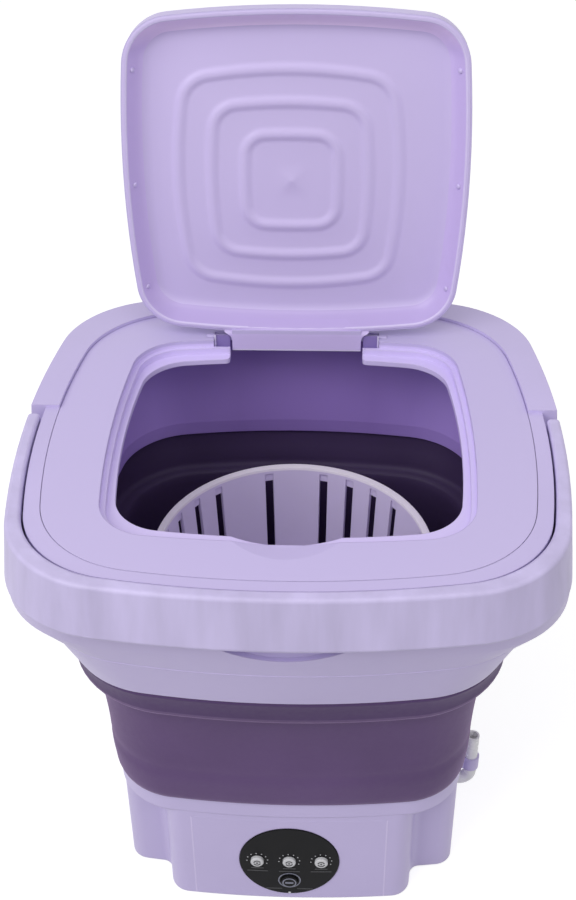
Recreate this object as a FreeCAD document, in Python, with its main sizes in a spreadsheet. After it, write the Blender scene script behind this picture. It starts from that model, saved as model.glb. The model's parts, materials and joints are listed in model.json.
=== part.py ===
"""Foldable mini washing machine as a parametric FreeCAD document.

Millimetres. The floor is at height 0, the origin is under the middle of the machine,
+Z is up and the front faces -Y. The tub is unfolded, the lid is open and the handle is down.
"""
import FreeCAD, Part
import math
import os
import re

import Sketcher
from FreeCAD import Placement, Rotation, Vector

# Driving dimensions. A plan outline is a rounded square with bowed sides: half width (X),
# half depth (Y), radius of the bowed sides and radius of the corners.
SIZES = {
    # walls, gaps and fasteners
    "wall": 2.6,
    "seam_gap": 0.3,
    "slit": 1.2,
    "running_fit": 0.05,
    "through": 4.0,
    "screw_radius": 1.5,
    "screw_head_radius": 3.0,
    "screw_head_height": 1.8,
    # levels of the rim, from the floor
    "skirt_height": 29.8,
    "ridge_drop": 15.0,
    "belly_height": 12.8,
    "handle_clearance": 1.7,
    "handle_height": 33.5,
    "cover_edge_height": 3.5,
    "deck_drop": 2.0,
    "band_level": 300.0,
    # plan outlines of the rim, from the bottom up
    "skirt_inset_x": 28.6,
    "skirt_inset_y": 22.8,
    "skirt_side_radius": 500.0,
    "skirt_corner_radius": 56.0,
    "ridge_inset_x": 14.0,
    "ridge_inset_y": 14.0,
    "ridge_side_radius": 500.0,
    "ridge_corner_radius": 62.0,
    "waist_inset_y": 9.2,
    "belly_outset_x": 1.0,
    "belly_inset_y": 5.5,
    "belly_side_radius": 540.0,
    "belly_corner_radius": 60.0,
    "rim_half_width": 161.0,
    "rim_half_depth": 157.0,
    "rim_side_radius": 620.0,
    "rim_corner_radius": 62.0,
    "top_inset_x": 4.0,
    "top_inset_y": 3.4,
    "top_side_radius": 620.0,
    "top_corner_radius": 64.0,
    "scoop_radius": 60.0,
    "scoop_depth": 12.0,
    "neck_inset_x": 12.4,
    "neck_inset_y": 12.4,
    "neck_side_radius": 520.0,
    "neck_corner_radius": 61.0,
    # top cover, lid recess and mouth
    "seam_inset_x": 21.0,
    "seam_inset_y": 19.9,
    "seam_side_radius": 500.0,
    "seam_corner_radius": 63.0,
    "seat_width": 5.0,
    "seat_thickness": 8.0,
    "recess_back": -3.4,
    "recess_inset_x": 55.2,
    "recess_inset_y": 54.0,
    "recess_side_radius": 700.0,
    "recess_corner_radius": 31.0,
    "recess_depth": 4.4,
    "recess_step_width": 3.0,
    "recess_step_depth": 4.2,
    "lip_height": 3.4,
    "mouth_back": -1.2,
    "mouth_inset_x": 6.4,
    "mouth_inset_y": 11.7,
    "mouth_side_radius": 520.0,
    "mouth_corner_radius": 30.0,
    "lip_end_radius": 3.0,
    "lip_bite_radius": 64.0,
    "lip_bite": 6.5,
    "finger_dip_radius": 165.0,
    "finger_dip_depth": 2.4,
    "finger_dip_reach": 14.0,
    # lid and hinge
    "hinge_setback": 4.0,
    "hinge_drop": 1.1,
    "lid_angle": 93.9,
    "lid_gap": 0.8,
    "lid_rest_gap": 0.4,
    "lid_height": 15.5,
    "lid_wall": 2.4,
    "lid_edge_radius": 6.0,
    "liner_flange": 4.9,
    "liner_slope": 7.5,
    "liner_thickness": 1.8,
    "bead_half_width": 26.6,
    "bead_half_depth": 27.6,
    "bead_side_radius": 300.0,
    "bead_corner_radius": 13.0,
    "bead_pitch": 19.2,
    "bead_corner_step": 3.0,
    "bead_foot": 4.6,
    "bead_crest": 2.2,
    "bead_height": 1.6,
    "tab_half_width": 41.7,
    "tab_reach": 7.2,
    "tab_thickness": 1.6,
    "tab_drop": 4.4,
    "barrel_radius": 3.9,
    "hinge_slot_half_width": 53.6,
    "hinge_ear_width": 5.0,
    "hinge_pin_radius": 2.0,
    "hinge_pin_grip": 7.0,
    # handle
    "handle_end": 9.0,
    "handle_end_gap": 8.0,
    "pivot_radius": 4.0,
    "pivot_depth": 5.0,
    "handle_edge_radius": 2.2,
    # bellows and its clamp rings
    "bellows_wall": 2.4,
    "cuff_height": 9.8,
    "collar_drop": 23.2,
    "crease_drop": 27.6,
    "kink_rise": 18.0,
    "bulge_rise": 10.6,
    "collar_inset_x": 0.4,
    "collar_inset_y": 8.6,
    "collar_side_radius": 500.0,
    "collar_corner_radius": 64.0,
    "crease_outset_x": 9.7,
    "crease_outset_y": 9.4,
    "crease_side_radius": 500.0,
    "crease_corner_radius": 52.0,
    "kink_outset_x": 4.5,
    "kink_outset_y": 4.4,
    "kink_side_radius": 520.0,
    "kink_corner_radius": 46.0,
    "bulge_outset_x": 3.2,
    "bulge_outset_y": 3.0,
    "bulge_side_radius": 560.0,
    "bulge_corner_radius": 43.0,
    "bellows_foot_width": 9.0,
    "bellows_foot_height": 2.0,
    "liner_wall": 2.2,
    "clamp_ring_height": 4.0,
    "clamp_screw_spread": 50.0,
    "clamp_screw_inset": 8.0,
    "clamp_screw_length": 12.0,
    # base
    "base_lift": 1.0,
    "foot_height": 3.0,
    "foot_radius": 9.0,
    "foot_peg_radius": 3.0,
    "foot_peg_height": 4.0,
    "foot_inset_x": 19.0,
    "foot_inset_y": 23.0,
    "cover_thickness": 2.6,
    "base_deck_level": 78.0,
    "base_deck_thickness": 3.0,
    "flange_rise": 4.0,
    "flange_width": 9.0,
    "flange_height": 11.4,
    "base_inset_x": 49.2,
    "base_inset_y": 47.4,
    "base_side_radius": 600.0,
    "base_corner_radius": 40.0,
    "block_inset_x": 27.8,
    "block_inset_y": 0.8,
    "block_side_radius": 720.0,
    "block_corner_radius": 13.0,
    "lobe_inset_x": 1.6,
    "lobe_inset_y": 22.6,
    "lobe_side_radius": 720.0,
    "lobe_corner_radius": 12.0,
    "notch_radius": 7.0,
    "cover_boss_radius": 4.5,
    "cover_boss_inset_x": 16.0,
    "cover_boss_inset_y": 18.0,
    "cover_screw_length": 14.0,
    # front control panel
    "panel_inset": 23.0,
    "panel_top_gap": 1.0,
    "panel_depth": 9.0,
    "lens_half_width": 31.5,
    "lens_extra_height": 0.4,
    "lens_level": 38.0,
    "lens_proud": 0.6,
    "lens_sunk": 1.0,
    "button_pitch": 20.3,
    "button_level": 39.0,
    "button_radius": 4.15,
    "start_level": 19.6,
    "start_radius": 5.2,
    "button_proud": 2.0,
    "button_flange": 1.2,
    "button_flange_height": 1.2,
    "button_flange_bow": 0.5,
    "button_chamfer": 0.6,
    "button_travel": 1.2,
    "switch_size": 6.0,
    "switch_height": 3.0,
    "board_half_width": 35.0,
    "board_bottom": 9.0,
    "board_height": 58.0,
    "board_thickness": 1.6,
    "board_post_radius": 3.0,
    "board_post_inset": 4.5,
    "board_screw_length": 5.0,
    # tub floor and drive
    "floor_thickness": 3.0,
    "hub_boss_radius": 14.0,
    "hub_boss_height": 13.5,
    "shaft_radius": 5.0,
    "bush_radius": 8.0,
    "bush_length": 7.0,
    "seal_radius": 9.5,
    "seal_height": 3.2,
    "case_height": 26.0,
    "case_x": 14.0,
    "case_radius": 46.0,
    "case_flange_radius": 54.0,
    "case_flange_thickness": 3.0,
    "case_screw_radius": 50.0,
    "case_screw_length": 12.0,
    "case_boss_radius": 11.0,
    "floor_boss_radius": 4.5,
    "floor_boss_height": 5.0,
    "gear_rise": 9.0,
    "gear_width": 8.0,
    "gear_module": 1.0,
    "gear_teeth": 48,
    "pinion_teeth": 16,
    "gear_backlash": 0.35,
    "motor_radius": 22.0,
    "motor_length": 40.0,
    "motor_shaft_radius": 2.5,
    "motor_pilot_radius": 7.0,
    "motor_screw_reach": 16.0,
    "motor_screw_length": 9.0,
    # pulsator and basket
    "pulsator_gap": 2.5,
    "pulsator_inset": 6.0,
    "pulsator_thickness": 4.0,
    "dome_radius": 18.0,
    "dome_height": 13.0,
    "pulsator_screw_grip": 8.0,
    "vane_height": 5.0,
    "vane_width": 6.0,
    "vane_start": 16.0,
    "vane_inset": 6.0,
    "vane_count": 6,
    "basket_gap": 0.3,
    "basket_hub_gap": 2.0,
    "basket_rise": 112.4,
    "basket_mouth_gap": 3.2,
    "basket_rim_height": 4.0,
    "basket_rim_width": 2.4,
    "basket_taper": 9.0,
    "basket_wall": 2.2,
    "basket_floor": 2.6,
    "basket_slot_width": 5.6,
    "basket_slot_top": 10.0,
    "basket_slot_bottom": 16.0,
    "basket_slot_positions": 28,
    "basket_groove_depth": 0.7,
    "basket_hole_radius": 4.0,
    "basket_hole_count": 12,
    # drain and power
    "drain_inset": 19.0,
    "drain_y": -40.0,
    "drain_level": 41.0,
    "drain_pipe_radius": 6.0,
    "drain_out_radius": 5.0,
    "drain_bore_radius": 4.0,
    "drain_flange_radius": 9.0,
    "grate_thickness": 1.6,
    "grate_hole_radius": 1.4,
    "grate_hole_reach": 4.6,
    "nozzle_radius": 3.0,
    "nozzle_bore_radius": 1.8,
    "hose_radius": 4.25,
    "hose_outset": 8.4,
    "hose_bend": 7.0,
    "hose_rise": 4.0,
    "clip_level": 53.0,
    "clip_height": 10.0,
    "clip_ring_radius": 5.4,
    "inlet_x": 40.0,
    "inlet_level": 26.0,
    "inlet_radius": 6.0,
    "inlet_flange_radius": 8.5,
    "inlet_flange_height": 1.6,
    "inlet_depth": 12.0,
    "inlet_bore_radius": 2.8,
}

# Sizes that follow from the ones above.
FOLLOWING = {
    "belly_half_width": "rim_half_width + belly_outset_x",
    "belly_half_depth": "rim_half_depth - belly_inset_y",
    "waist_half_width": "belly_half_width",
    "waist_half_depth": "rim_half_depth - waist_inset_y",
    "waist_side_radius": "belly_side_radius",
    "waist_corner_radius": "belly_corner_radius",
    "ridge_half_width": "rim_half_width - ridge_inset_x",
    "ridge_half_depth": "rim_half_depth - ridge_inset_y",
    "skirt_half_width": "rim_half_width - skirt_inset_x",
    "skirt_half_depth": "rim_half_depth - skirt_inset_y",
    "neck_half_width": "rim_half_width - neck_inset_x",
    "neck_half_depth": "rim_half_depth - neck_inset_y",
    "seam_half_width": "rim_half_width - seam_inset_x",
    "seam_half_depth": "rim_half_depth - seam_inset_y",
    "top_half_width": "rim_half_width - top_inset_x",
    "top_half_depth": "rim_half_depth - top_inset_y",
    "base_half_width": "rim_half_width - base_inset_x",
    "base_half_depth": "rim_half_depth - base_inset_y",
    "recess_half_width": "rim_half_width - recess_inset_x",
    "recess_half_depth": "rim_half_depth - recess_inset_y",
    "collar_half_width": "skirt_half_width - collar_inset_x",
    "collar_half_depth": "skirt_half_depth - collar_inset_y",
    "crease_half_width": "base_half_width + crease_outset_x",
    "crease_half_depth": "base_half_depth + crease_outset_y",
    "kink_half_width": "base_half_width + kink_outset_x",
    "kink_half_depth": "base_half_depth + kink_outset_y",
    "bulge_half_width": "base_half_width + bulge_outset_x",
    "bulge_half_depth": "base_half_depth + bulge_outset_y",
    "mouth_half_width": "recess_half_width - mouth_inset_x",
    "mouth_half_depth": "recess_half_depth - mouth_inset_y",
    "block_half_width": "base_half_width - block_inset_x",
    "block_half_depth": "base_half_depth - block_inset_y",
    "lobe_half_width": "base_half_width - lobe_inset_x",
    "lobe_half_depth": "base_half_depth - lobe_inset_y",
    "deck_level": "band_level - deck_drop",
    "seat_level": "deck_level - cover_edge_height",
    "handle_level": "band_level - handle_height",
    "ledge_level": "handle_level - handle_clearance",
    "belly_level": "ledge_level - belly_height",
    "ridge_level": "belly_level - ridge_drop",
    "skirt_level": "ridge_level - skirt_height",
    "recess_step_level": "deck_level - recess_depth",
    "recess_ledge_level": "recess_step_level - recess_step_depth",
    "lip_level": "recess_ledge_level - lip_height",
    "hinge_level": "deck_level - hinge_drop",
    "lid_edge_level": "recess_step_level + lid_rest_gap",
    "lid_top_level": "lid_edge_level + lid_height",
    "cuff_top": "skirt_level + cuff_height",
    "collar_level": "skirt_level - collar_drop",
    "crease_level": "skirt_level - crease_drop",
    "flange_level": "base_deck_level + flange_rise",
    "base_level": "flange_level + flange_height",
    "bulge_level": "base_level + bulge_rise",
    "kink_level": "bulge_level + kink_rise",
    "panel_top": "base_deck_level - panel_top_gap",
    "case_level": "base_deck_level - case_height",
    "gear_level": "case_level + gear_rise",
    "hub_boss_level": "base_deck_level + hub_boss_height",
    "pulsator_level": "hub_boss_level + pulsator_gap",
    "panel_half_width": "block_half_width - panel_inset",
    "foot_x": "block_half_width - foot_inset_x",
    "foot_y": "block_half_depth - foot_inset_y",
    "cover_boss_x": "lobe_half_width - cover_boss_inset_x",
    "cover_boss_y": "lobe_half_depth - cover_boss_inset_y",
    "drain_x": "lobe_half_width - drain_inset",
    "hose_x": "lobe_half_width + hose_outset",
    "basket_rim_radius": "mouth_half_depth - basket_mouth_gap",
    "basket_foot_radius": "basket_rim_radius - basket_taper",
    "pulsator_radius": "basket_foot_radius - pulsator_inset",
    "vane_end": "pulsator_radius - vane_inset",
    "recess_rear": "recess_back + recess_half_depth",
    "hinge_back": "recess_rear + hinge_setback",
    "basket_level": "pulsator_level + basket_rise",
    "rear_band_start": "handle_end + handle_end_gap",
    "hose_top": "base_deck_level + hose_rise",
}

# Slots stand at these places of each group of seven positions round the basket.
SLOT_GROUP = 7
SLOTTED = (1, 2, 3, 4, 6)

doc = FreeCAD.newDocument("foldable_washer")
sheet = doc.addObject("Spreadsheet::Sheet", "Sizes")
for row, (alias, value) in enumerate(SIZES.items(), start=1):
    sheet.set(f"A{row}", alias)
    sheet.set(f"B{row}", str(value))
    sheet.setAlias(f"B{row}", alias)
doc.recompute()

PIECES = []
AXES = {
    "x": Rotation(Vector(0, 1, 0), 90),
    "-x": Rotation(Vector(0, 1, 0), -90),
    "y": Rotation(Vector(1, 0, 0), -90),
    "-y": Rotation(Vector(1, 0, 0), 90),
    "z": Rotation(),
    "-z": Rotation(Vector(1, 0, 0), 180),
}


def size(alias):
    """Value of a size: from the sheet, or worked out from the sizes it follows."""
    if alias in FOLLOWING:
        return number(FOLLOWING[alias])
    return float(sheet.get(alias))


def number(text):
    """Value of a sum of products of sizes and numbers, such as 'deck_level - 2 * wall'."""
    total = 0.0
    for sign, term in re.findall(r"([+-]?)\s*(\w[\w.]*(?:\s*[*/]\s*\w[\w.]*)*)", text):
        value = 1.0
        for operation, word in re.findall(r"([*/]?)\s*(\w[\w.]*)", term):
            factor = size(word) if word[0].isalpha() else float(word)
            value = value / factor if operation == "/" else value * factor
        total += -value if sign == "-" else value
    return total


def named(text):
    """The same sum as an expression that reads the sheet."""
    def cell(word):
        alias = word.group()
        return f"({named(FOLLOWING[alias])})" if alias in FOLLOWING else "Sizes." + alias
    return re.sub(r"[a-z]\w*", cell, text)


def bind(thing, **sums):
    """Bind properties of an object to sums of sizes."""
    for place, text in sums.items():
        thing.setExpression(place.replace("__", "."), named(text))


def place(thing, x="0", y="0", z="0", turn=None):
    """Put an object at a point given by sums of sizes."""
    thing.Placement = Placement(Vector(number(x), number(y), number(z)), turn or Rotation())
    bind(thing, Placement__Base__x=x, Placement__Base__y=y, Placement__Base__z=z)
    return thing


def keep(thing, label):
    """Mark an object as a finished piece."""
    thing.Label = label
    PIECES.append(thing)
    return thing


def box(name, x, y, z, length, width, height):
    """Block from its lowest corner."""
    block = doc.addObject("Part::Box", name)
    bind(block, Length=length, Width=width, Height=height)
    return place(block, x, y, z)


def rod(name, radius, length, x="0", y="0", z="0", along="z"):
    """Round bar that starts at a point and runs along an axis."""
    bar = doc.addObject("Part::Cylinder", name)
    bind(bar, Radius=radius, Height=length)
    return place(bar, x, y, z, AXES[along])


def fuse(name, pieces):
    joined = doc.addObject("Part::MultiFuse", name)
    joined.Shapes = pieces
    joined.Refine = True
    return joined


def cut(name, base, *tools):
    """Base with one tool after another taken away."""
    for count, tool in enumerate(tools, start=1):
        result = doc.addObject("Part::Cut", name if count == len(tools) else f"{name}_{count}")
        result.Base = base
        result.Tool = tool
        base = result
    return base


def common(name, first, second):
    shared = doc.addObject("Part::Common", name)
    shared.Base = first
    shared.Tool = second
    return shared


def group(name, pieces):
    """Separate solids in one object."""
    together = doc.addObject("Part::Compound", name)
    together.Links = pieces
    return together


def rounded(name, base, radius, wanted):
    """Round the edges whose box and length the test accepts."""
    doc.recompute()
    edges = enumerate(base.Shape.Edges, start=1)
    chosen = [(index, size(radius), size(radius)) for index, edge in edges if wanted(edge)]
    fillet = doc.addObject("Part::Fillet", name)
    fillet.Base = base
    fillet.Edges = chosen
    return fillet


def outline(name, level, family, grow="0", corner_grow=None, shift="0"):
    """Sketch of a rounded square with bowed sides at a level; grow offsets it outwards."""
    sums = {part: f"{family}_{part} + {grow}" for part in
            ("half_width", "half_depth", "side_radius", "corner_radius")}
    if corner_grow:
        sums["corner_radius"] = f"{family}_corner_radius + {corner_grow}"
    half_width, half_depth, side, corner = (number(text) for text in sums.values())
    right = Vector(half_width - side, 0)
    back = Vector(0, half_depth - side)
    span = back - right
    rise = math.sqrt((side - corner) ** 2 - span.Length ** 2 / 4)
    middle = (right + back) * 0.5 + Vector(-span.y, span.x).normalize() * rise
    low = math.atan2(middle.y - right.y, middle.x - right.x)
    high = math.atan2(middle.y - back.y, middle.x - back.x)
    sketch = doc.addObject("Sketcher::SketchObject", name)
    half = math.pi / 2
    for turn in range(4):
        centre = (right, back, right * -1, back * -1)[turn]
        swing = (low, half - high)[turn % 2]
        after = (low, half - high)[(turn + 1) % 2]
        round_centre = Vector(middle.x * (1, -1, -1, 1)[turn], middle.y * (1, 1, -1, -1)[turn])
        start = turn * half
        add_arc(sketch, centre, side, start - swing, start + swing)
        add_arc(sketch, round_centre, corner, start + swing, start + half - after)
    rules = [Sketcher.Constraint("Tangent", arc, 2, (arc + 1) % 8, 1) for arc in range(8)]
    rules += [Sketcher.Constraint("Equal", 0, arc) for arc in (2, 4, 6)]
    rules += [Sketcher.Constraint("Equal", 1, arc) for arc in (3, 5, 7)]
    rules += [Sketcher.Constraint("PointOnObject", arc, 3, axis) for arc, axis in
              ((0, -1), (4, -1), (2, -2), (6, -2))]
    sketch.addConstraint(rules)
    to_side = f"{family}_side_radius - {family}_half_width"
    to_back = f"{family}_side_radius - {family}_half_depth"
    drive(sketch, Sketcher.Constraint("Radius", 0, side), sums["side_radius"])
    drive(sketch, Sketcher.Constraint("Radius", 1, corner), sums["corner_radius"])
    reach, depth = -right.x, -back.y
    drive(sketch, Sketcher.Constraint("DistanceX", 0, 3, -1, 1, reach), to_side)
    drive(sketch, Sketcher.Constraint("DistanceX", -1, 1, 4, 3, reach), to_side)
    drive(sketch, Sketcher.Constraint("DistanceY", 2, 3, -1, 1, depth), to_back)
    drive(sketch, Sketcher.Constraint("DistanceY", -1, 1, 6, 3, depth), to_back)
    return place(sketch, "0", shift, level)


def add_arc(sketch, centre, radius, start, end):
    circle = Part.Circle(centre, Vector(0, 0, 1), radius)
    sketch.addGeometry(Part.ArcOfCircle(circle, start, end))


def drive(sketch, rule, text):
    """Add a measured constraint that follows a sum of sizes."""
    index = sketch.addConstraint(rule)
    sketch.setExpression(f"Constraints[{index}]", named(text))


def loft(name, *sections, shift="0"):
    """Solid through outlines, each given as (level, family) or (level, family, grow)."""
    solid = doc.addObject("Part::Loft", name)
    solid.Sections = [outline(f"{name}_{number_of}", *section, shift=shift)
                      for number_of, section in enumerate(sections, start=1)]
    solid.Solid = True
    solid.Ruled = True
    return solid


def turned(name, profile):
    """Body turned about its Z axis from points (radius, height), all of them sums of sizes."""
    body = doc.addObject("PartDesign::Body", name)
    sketch = body.newObject("Sketcher::SketchObject", f"{name}_profile")
    planes = {feature.Role: feature for feature in body.Origin.OriginFeatures}
    sketch.AttachmentSupport = [(planes["XZ_Plane"], "")]
    sketch.MapMode = "FlatFace"
    points = [Vector(number(radius), number(height)) for radius, height in profile]
    for first, second in zip(points, points[1:] + points[:1]):
        sketch.addGeometry(Part.LineSegment(first, second))
    last = len(points) - 1
    rules = [Sketcher.Constraint("Coincident", line, 2, (line + 1) % len(points), 1)
             for line in range(last + 1)]
    sketch.addConstraint(rules)
    for line, (radius, height) in enumerate(profile):
        if radius == "0":
            sketch.addConstraint(Sketcher.Constraint("PointOnObject", line, 1, -2))
        else:
            drive(sketch, Sketcher.Constraint("DistanceX", -1, 1, line, 1, points[line].x), radius)
        if height == "0":
            sketch.addConstraint(Sketcher.Constraint("PointOnObject", line, 1, -1))
        else:
            drive(sketch, Sketcher.Constraint("DistanceY", -1, 1, line, 1, points[line].y), height)
    revolution = body.newObject("PartDesign::Revolution", f"{name}_turned")
    revolution.Profile = sketch
    revolution.ReferenceAxis = (sketch, ["V_Axis"])
    revolution.Angle = 360
    return body


def washer(name, outer, inner, height, x="0", y="0", z="0", along="z"):
    """Round ring."""
    ring = turned(name, [(inner, "0"), (outer, "0"), (outer, height), (inner, height)])
    return place(ring, x, y, z, AXES[along])


def screw(name, length, x, y, z, along):
    """Pan head screw whose head starts at the point; the length is the shank's."""
    tip = f"screw_head_height + {length}"
    body = turned(name, [
        ("0", "0"), ("screw_head_radius", "0"), ("screw_head_radius", "screw_head_height"),
        ("screw_radius", "screw_head_height"), ("screw_radius", tip), ("0", tip)])
    return place(body, x, y, z, AXES[along])


def opposite(text):
    """The same sum with its sign changed."""
    flipped = {"+": "-", "-": "+"}
    return "0 - " + re.sub(r"[+-]", lambda sign: flipped[sign.group()], text)


def four_places(x, y):
    """The points (x, y), (-x, y), (x, -y) and (-x, -y) as sums of sizes."""
    return [(a, b) for a in (x, opposite(x)) for b in (y, opposite(y))]


# Sums of sizes that several pieces share.
WIDE = "2 * belly_half_width + 2 * through"
LID_SHIFT = "recess_back - hinge_back"
LID_EDGE = "lid_edge_level - hinge_level"
LID_TOP = "lid_top_level - hinge_level"
LINER_FLOOR = "lid_top_level - hinge_level - lid_wall - liner_thickness"
PIVOT_DROP = "band_level / 2 - handle_level / 2"
PIVOT_LEVEL = "band_level / 2 + handle_level / 2"
PIVOT_BACK = "handle_end - band_level / 2 + handle_level / 2"
CUFF = "-wall - seam_gap"
LINER_OUTSIDE = "-wall - 2 * seam_gap - bellows_wall"
DECK_TOP = "base_deck_level + base_deck_thickness"
FLOOR_TOP = "base_deck_level + base_deck_thickness + floor_thickness"
CASE_FLOOR = "case_level + wall"
GEAR_CENTRES = "gear_module * gear_teeth / 2 + gear_module * pinion_teeth / 2"
CLAMP_TOP = "base_level + bellows_foot_height + clamp_ring_height"
DIAGONAL = "0.70711"
LOBE_FACE = "lobe_half_width - drain_y * drain_y / lobe_side_radius / 2"
BASKET_BOTTOM = "pulsator_level + pulsator_thickness + vane_height + basket_gap"
BUTTON_FLANGE_FRONT = "0 - block_half_depth + wall + seam_gap + button_flange_bow"
BUTTON_BACK = BUTTON_FLANGE_FRONT + " + button_flange_height"
SWITCH_FRONT = BUTTON_BACK + " + button_travel + seam_gap"
BOARD_FRONT = SWITCH_FRONT + " + switch_height"
BOARD_BACK = BOARD_FRONT + " + board_thickness"


def rim_frame():
    """Rim shell: skirt, belly with a finger scoop, neck, rear band and the seat of the top cover."""
    outside = loft("rim_outside", ("skirt_level", "skirt"), ("ridge_level", "ridge"),
                   ("belly_level", "waist"), ("ledge_level", "belly"))
    neck = loft("rim_neck", ("belly_level", "neck"), ("deck_level", "neck"))
    band = loft("rim_band", ("ledge_level", "rim"), ("band_level", "top"))
    behind = box("rim_behind", "0 - belly_half_width - through", "rear_band_start", "ledge_level",
                 WIDE, "2 * rim_half_depth", "band_level - ledge_level + through")
    solid = fuse("rim_solid", [outside, neck, common("rim_rear_band", band, behind)])
    under = loft("rim_under", ("skirt_level - through", "skirt", "-wall"), ("skirt_level", "skirt", "-wall"),
                 ("ridge_level", "ridge", "-wall"), ("belly_level", "waist", "-wall"),
                 ("ledge_level - wall", "belly", "-wall"))
    inside = loft("rim_inside", ("ridge_level", "neck", "-wall"),
                  ("seat_level - seat_thickness", "neck", "-wall"))
    opening = loft("rim_opening", ("seat_level - seat_thickness - through", "seam", "-seat_width"),
                   ("deck_level + through", "seam", "-seat_width"))
    pocket = loft("rim_pocket", ("seat_level", "seam"), ("band_level + through", "seam"))
    pins = rod("rim_pin_holes", "pivot_radius + running_fit", WIDE,
               "0 - belly_half_width - through", PIVOT_BACK, PIVOT_LEVEL, "x")
    scoop_middle = "ledge_level - scoop_depth + scoop_radius"
    scoop = rod("rim_scoop", "scoop_radius", "rim_half_depth - neck_half_depth - seam_gap", "0",
                "0 - rim_half_depth", scoop_middle, "y")
    backing = rod("rim_scoop_backing", "scoop_radius + wall", "rim_half_depth - neck_half_depth + wall", "0",
                  "0 - rim_half_depth", scoop_middle, "y")
    hollow = cut("rim_under_scoop", under, backing)
    frame = cut("rim_shell", solid, hollow, inside, opening, pocket, pins, scoop)
    keep(frame, "rim_frame")


def inner_liner():
    """Smooth inner wall of the rim; its foot clamps the cuff of the bellows."""
    sections = [("skirt_level + seam_gap", "skirt", LINER_OUTSIDE), ("cuff_top", "skirt", LINER_OUTSIDE),
                ("seat_level - seat_thickness", "neck", "-wall - seam_gap")]
    outside = loft("liner_outside", *sections)
    hollow = [(level, family, grow + " - liner_wall") for level, family, grow in sections]
    hollow[0] = ("skirt_level - through",) + hollow[0][1:]
    hollow.append(("seat_level", "neck", "-wall - seam_gap - liner_wall"))
    keep(cut("liner_shell", outside, loft("liner_hollow", *hollow)), "inner_liner")


def top_cover():
    """Top plate with the stepped lid recess, the mouth, the finger dip and the hinge ears."""
    plate = loft("cover_plate", ("seat_level", "seam", "-seam_gap"), ("deck_level", "seam", "-seam_gap"))
    tray = loft("cover_tray", ("lip_level", "recess", "wall"), ("deck_level", "recess", "wall"),
                shift="recess_back")
    ears = [box(f"cover_ear_{side}", x, "hinge_back - barrel_radius - wall", "recess_ledge_level",
                "hinge_ear_width", "2 * barrel_radius + 2 * wall", "deck_level - recess_ledge_level")
            for side, x in (("right", "hinge_slot_half_width"),
                            ("left", "0 - hinge_slot_half_width - hinge_ear_width"))]
    solid = fuse("cover_solid", [plate, tray] + ears)
    recess = loft("cover_recess", ("recess_step_level", "recess"), ("deck_level + through", "recess"),
                  shift="recess_back")
    step = loft("cover_step", ("recess_ledge_level", "recess", "-recess_step_width"),
                ("deck_level", "recess", "-recess_step_width"), shift="recess_back")
    mouth = loft("cover_mouth", ("lip_level - through", "mouth"), ("deck_level + through", "mouth"),
                 shift="mouth_back")
    notch = box("cover_notch", "0 - tab_half_width - slit", "mouth_back", "lip_level - through",
                "2 * tab_half_width + 2 * slit", "hinge_back + barrel_radius + slit - mouth_back",
                "deck_level - lip_level + 2 * through")
    slots = box("cover_slots", "0 - hinge_slot_half_width", "hinge_back - barrel_radius - wall",
                "recess_ledge_level", "2 * hinge_slot_half_width", "2 * barrel_radius + wall + slit",
                "deck_level - recess_ledge_level + through")
    pins = rod("cover_pin_holes", "hinge_pin_radius + running_fit",
               "2 * hinge_slot_half_width + 2 * hinge_ear_width",
               "0 - hinge_slot_half_width - hinge_ear_width", "hinge_back", "hinge_level", "x")
    tilt = math.atan2(size("finger_dip_depth"), size("finger_dip_reach"))
    rise, run = f"{math.sin(tilt):.5f}", f"{math.cos(tilt):.5f}"
    dip = rod("cover_dip", "finger_dip_radius", "4 * finger_dip_reach")
    front = "recess_back - recess_half_depth"
    place(dip, "0", f"{front} + {rise} * finger_dip_radius + 2 * {run} * finger_dip_reach",
          f"deck_level - finger_dip_depth + {run} * finger_dip_radius - 2 * {rise} * finger_dip_reach",
          Rotation(Vector(1, 0, 0), 90 - math.degrees(tilt)))
    bite = rod("cover_bite", "lip_bite_radius", "lip_height + 2 * through", "0",
               "mouth_back - mouth_half_depth - lip_bite + lip_bite_radius", "lip_level - through")
    cover = cut("cover_shell", solid, recess, step, mouth, notch, slots, pins, dip, bite,
                *lip_end_corners())
    keep(cover, "top_cover")


def lip_end_corners():
    """What is taken off to round the ends of the mouth's lip beside the hinge notch."""
    bow = "tab_half_width * tab_half_width / mouth_side_radius / 2"
    edge = f"mouth_back + mouth_half_depth - {bow} - seam_gap"
    low = "lip_level - through"
    height = "lip_height + 2 * through"
    outer = "0 - tab_half_width - slit - lip_end_radius"
    corners = []
    for side, x, middle in (("right", "tab_half_width + slit", opposite(outer)), ("left", outer, outer)):
        block = box(f"cover_lip_block_{side}", x, edge + " - through", low, "lip_end_radius",
                    "lip_end_radius + through", height)
        bar = rod(f"cover_lip_bar_{side}", "lip_end_radius", height, middle, edge + " + lip_end_radius", low)
        corners.append(cut(f"cover_lip_corner_{side}", block, bar))
    return corners


def hinge_pins():
    """Two steel pins in the ears of the top cover."""
    length = "hinge_slot_half_width + hinge_ear_width - tab_half_width + hinge_pin_grip"
    starts = ("tab_half_width - hinge_pin_grip", "0 - hinge_slot_half_width - hinge_ear_width")
    pins = [rod(f"hinge_pin_{count}", "hinge_pin_radius", length, x, "hinge_back", "hinge_level", "x")
            for count, x in enumerate(starts, start=1)]
    keep(group("hinge_pin_pair", pins), "lid_hinge_pins")


def hang_lid(piece):
    """Swing a lid piece, drawn shut about the hinge axis, to its open place."""
    return place(piece, "0", "hinge_back", "hinge_level", Rotation(Vector(1, 0, 0), -size("lid_angle")))


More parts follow.
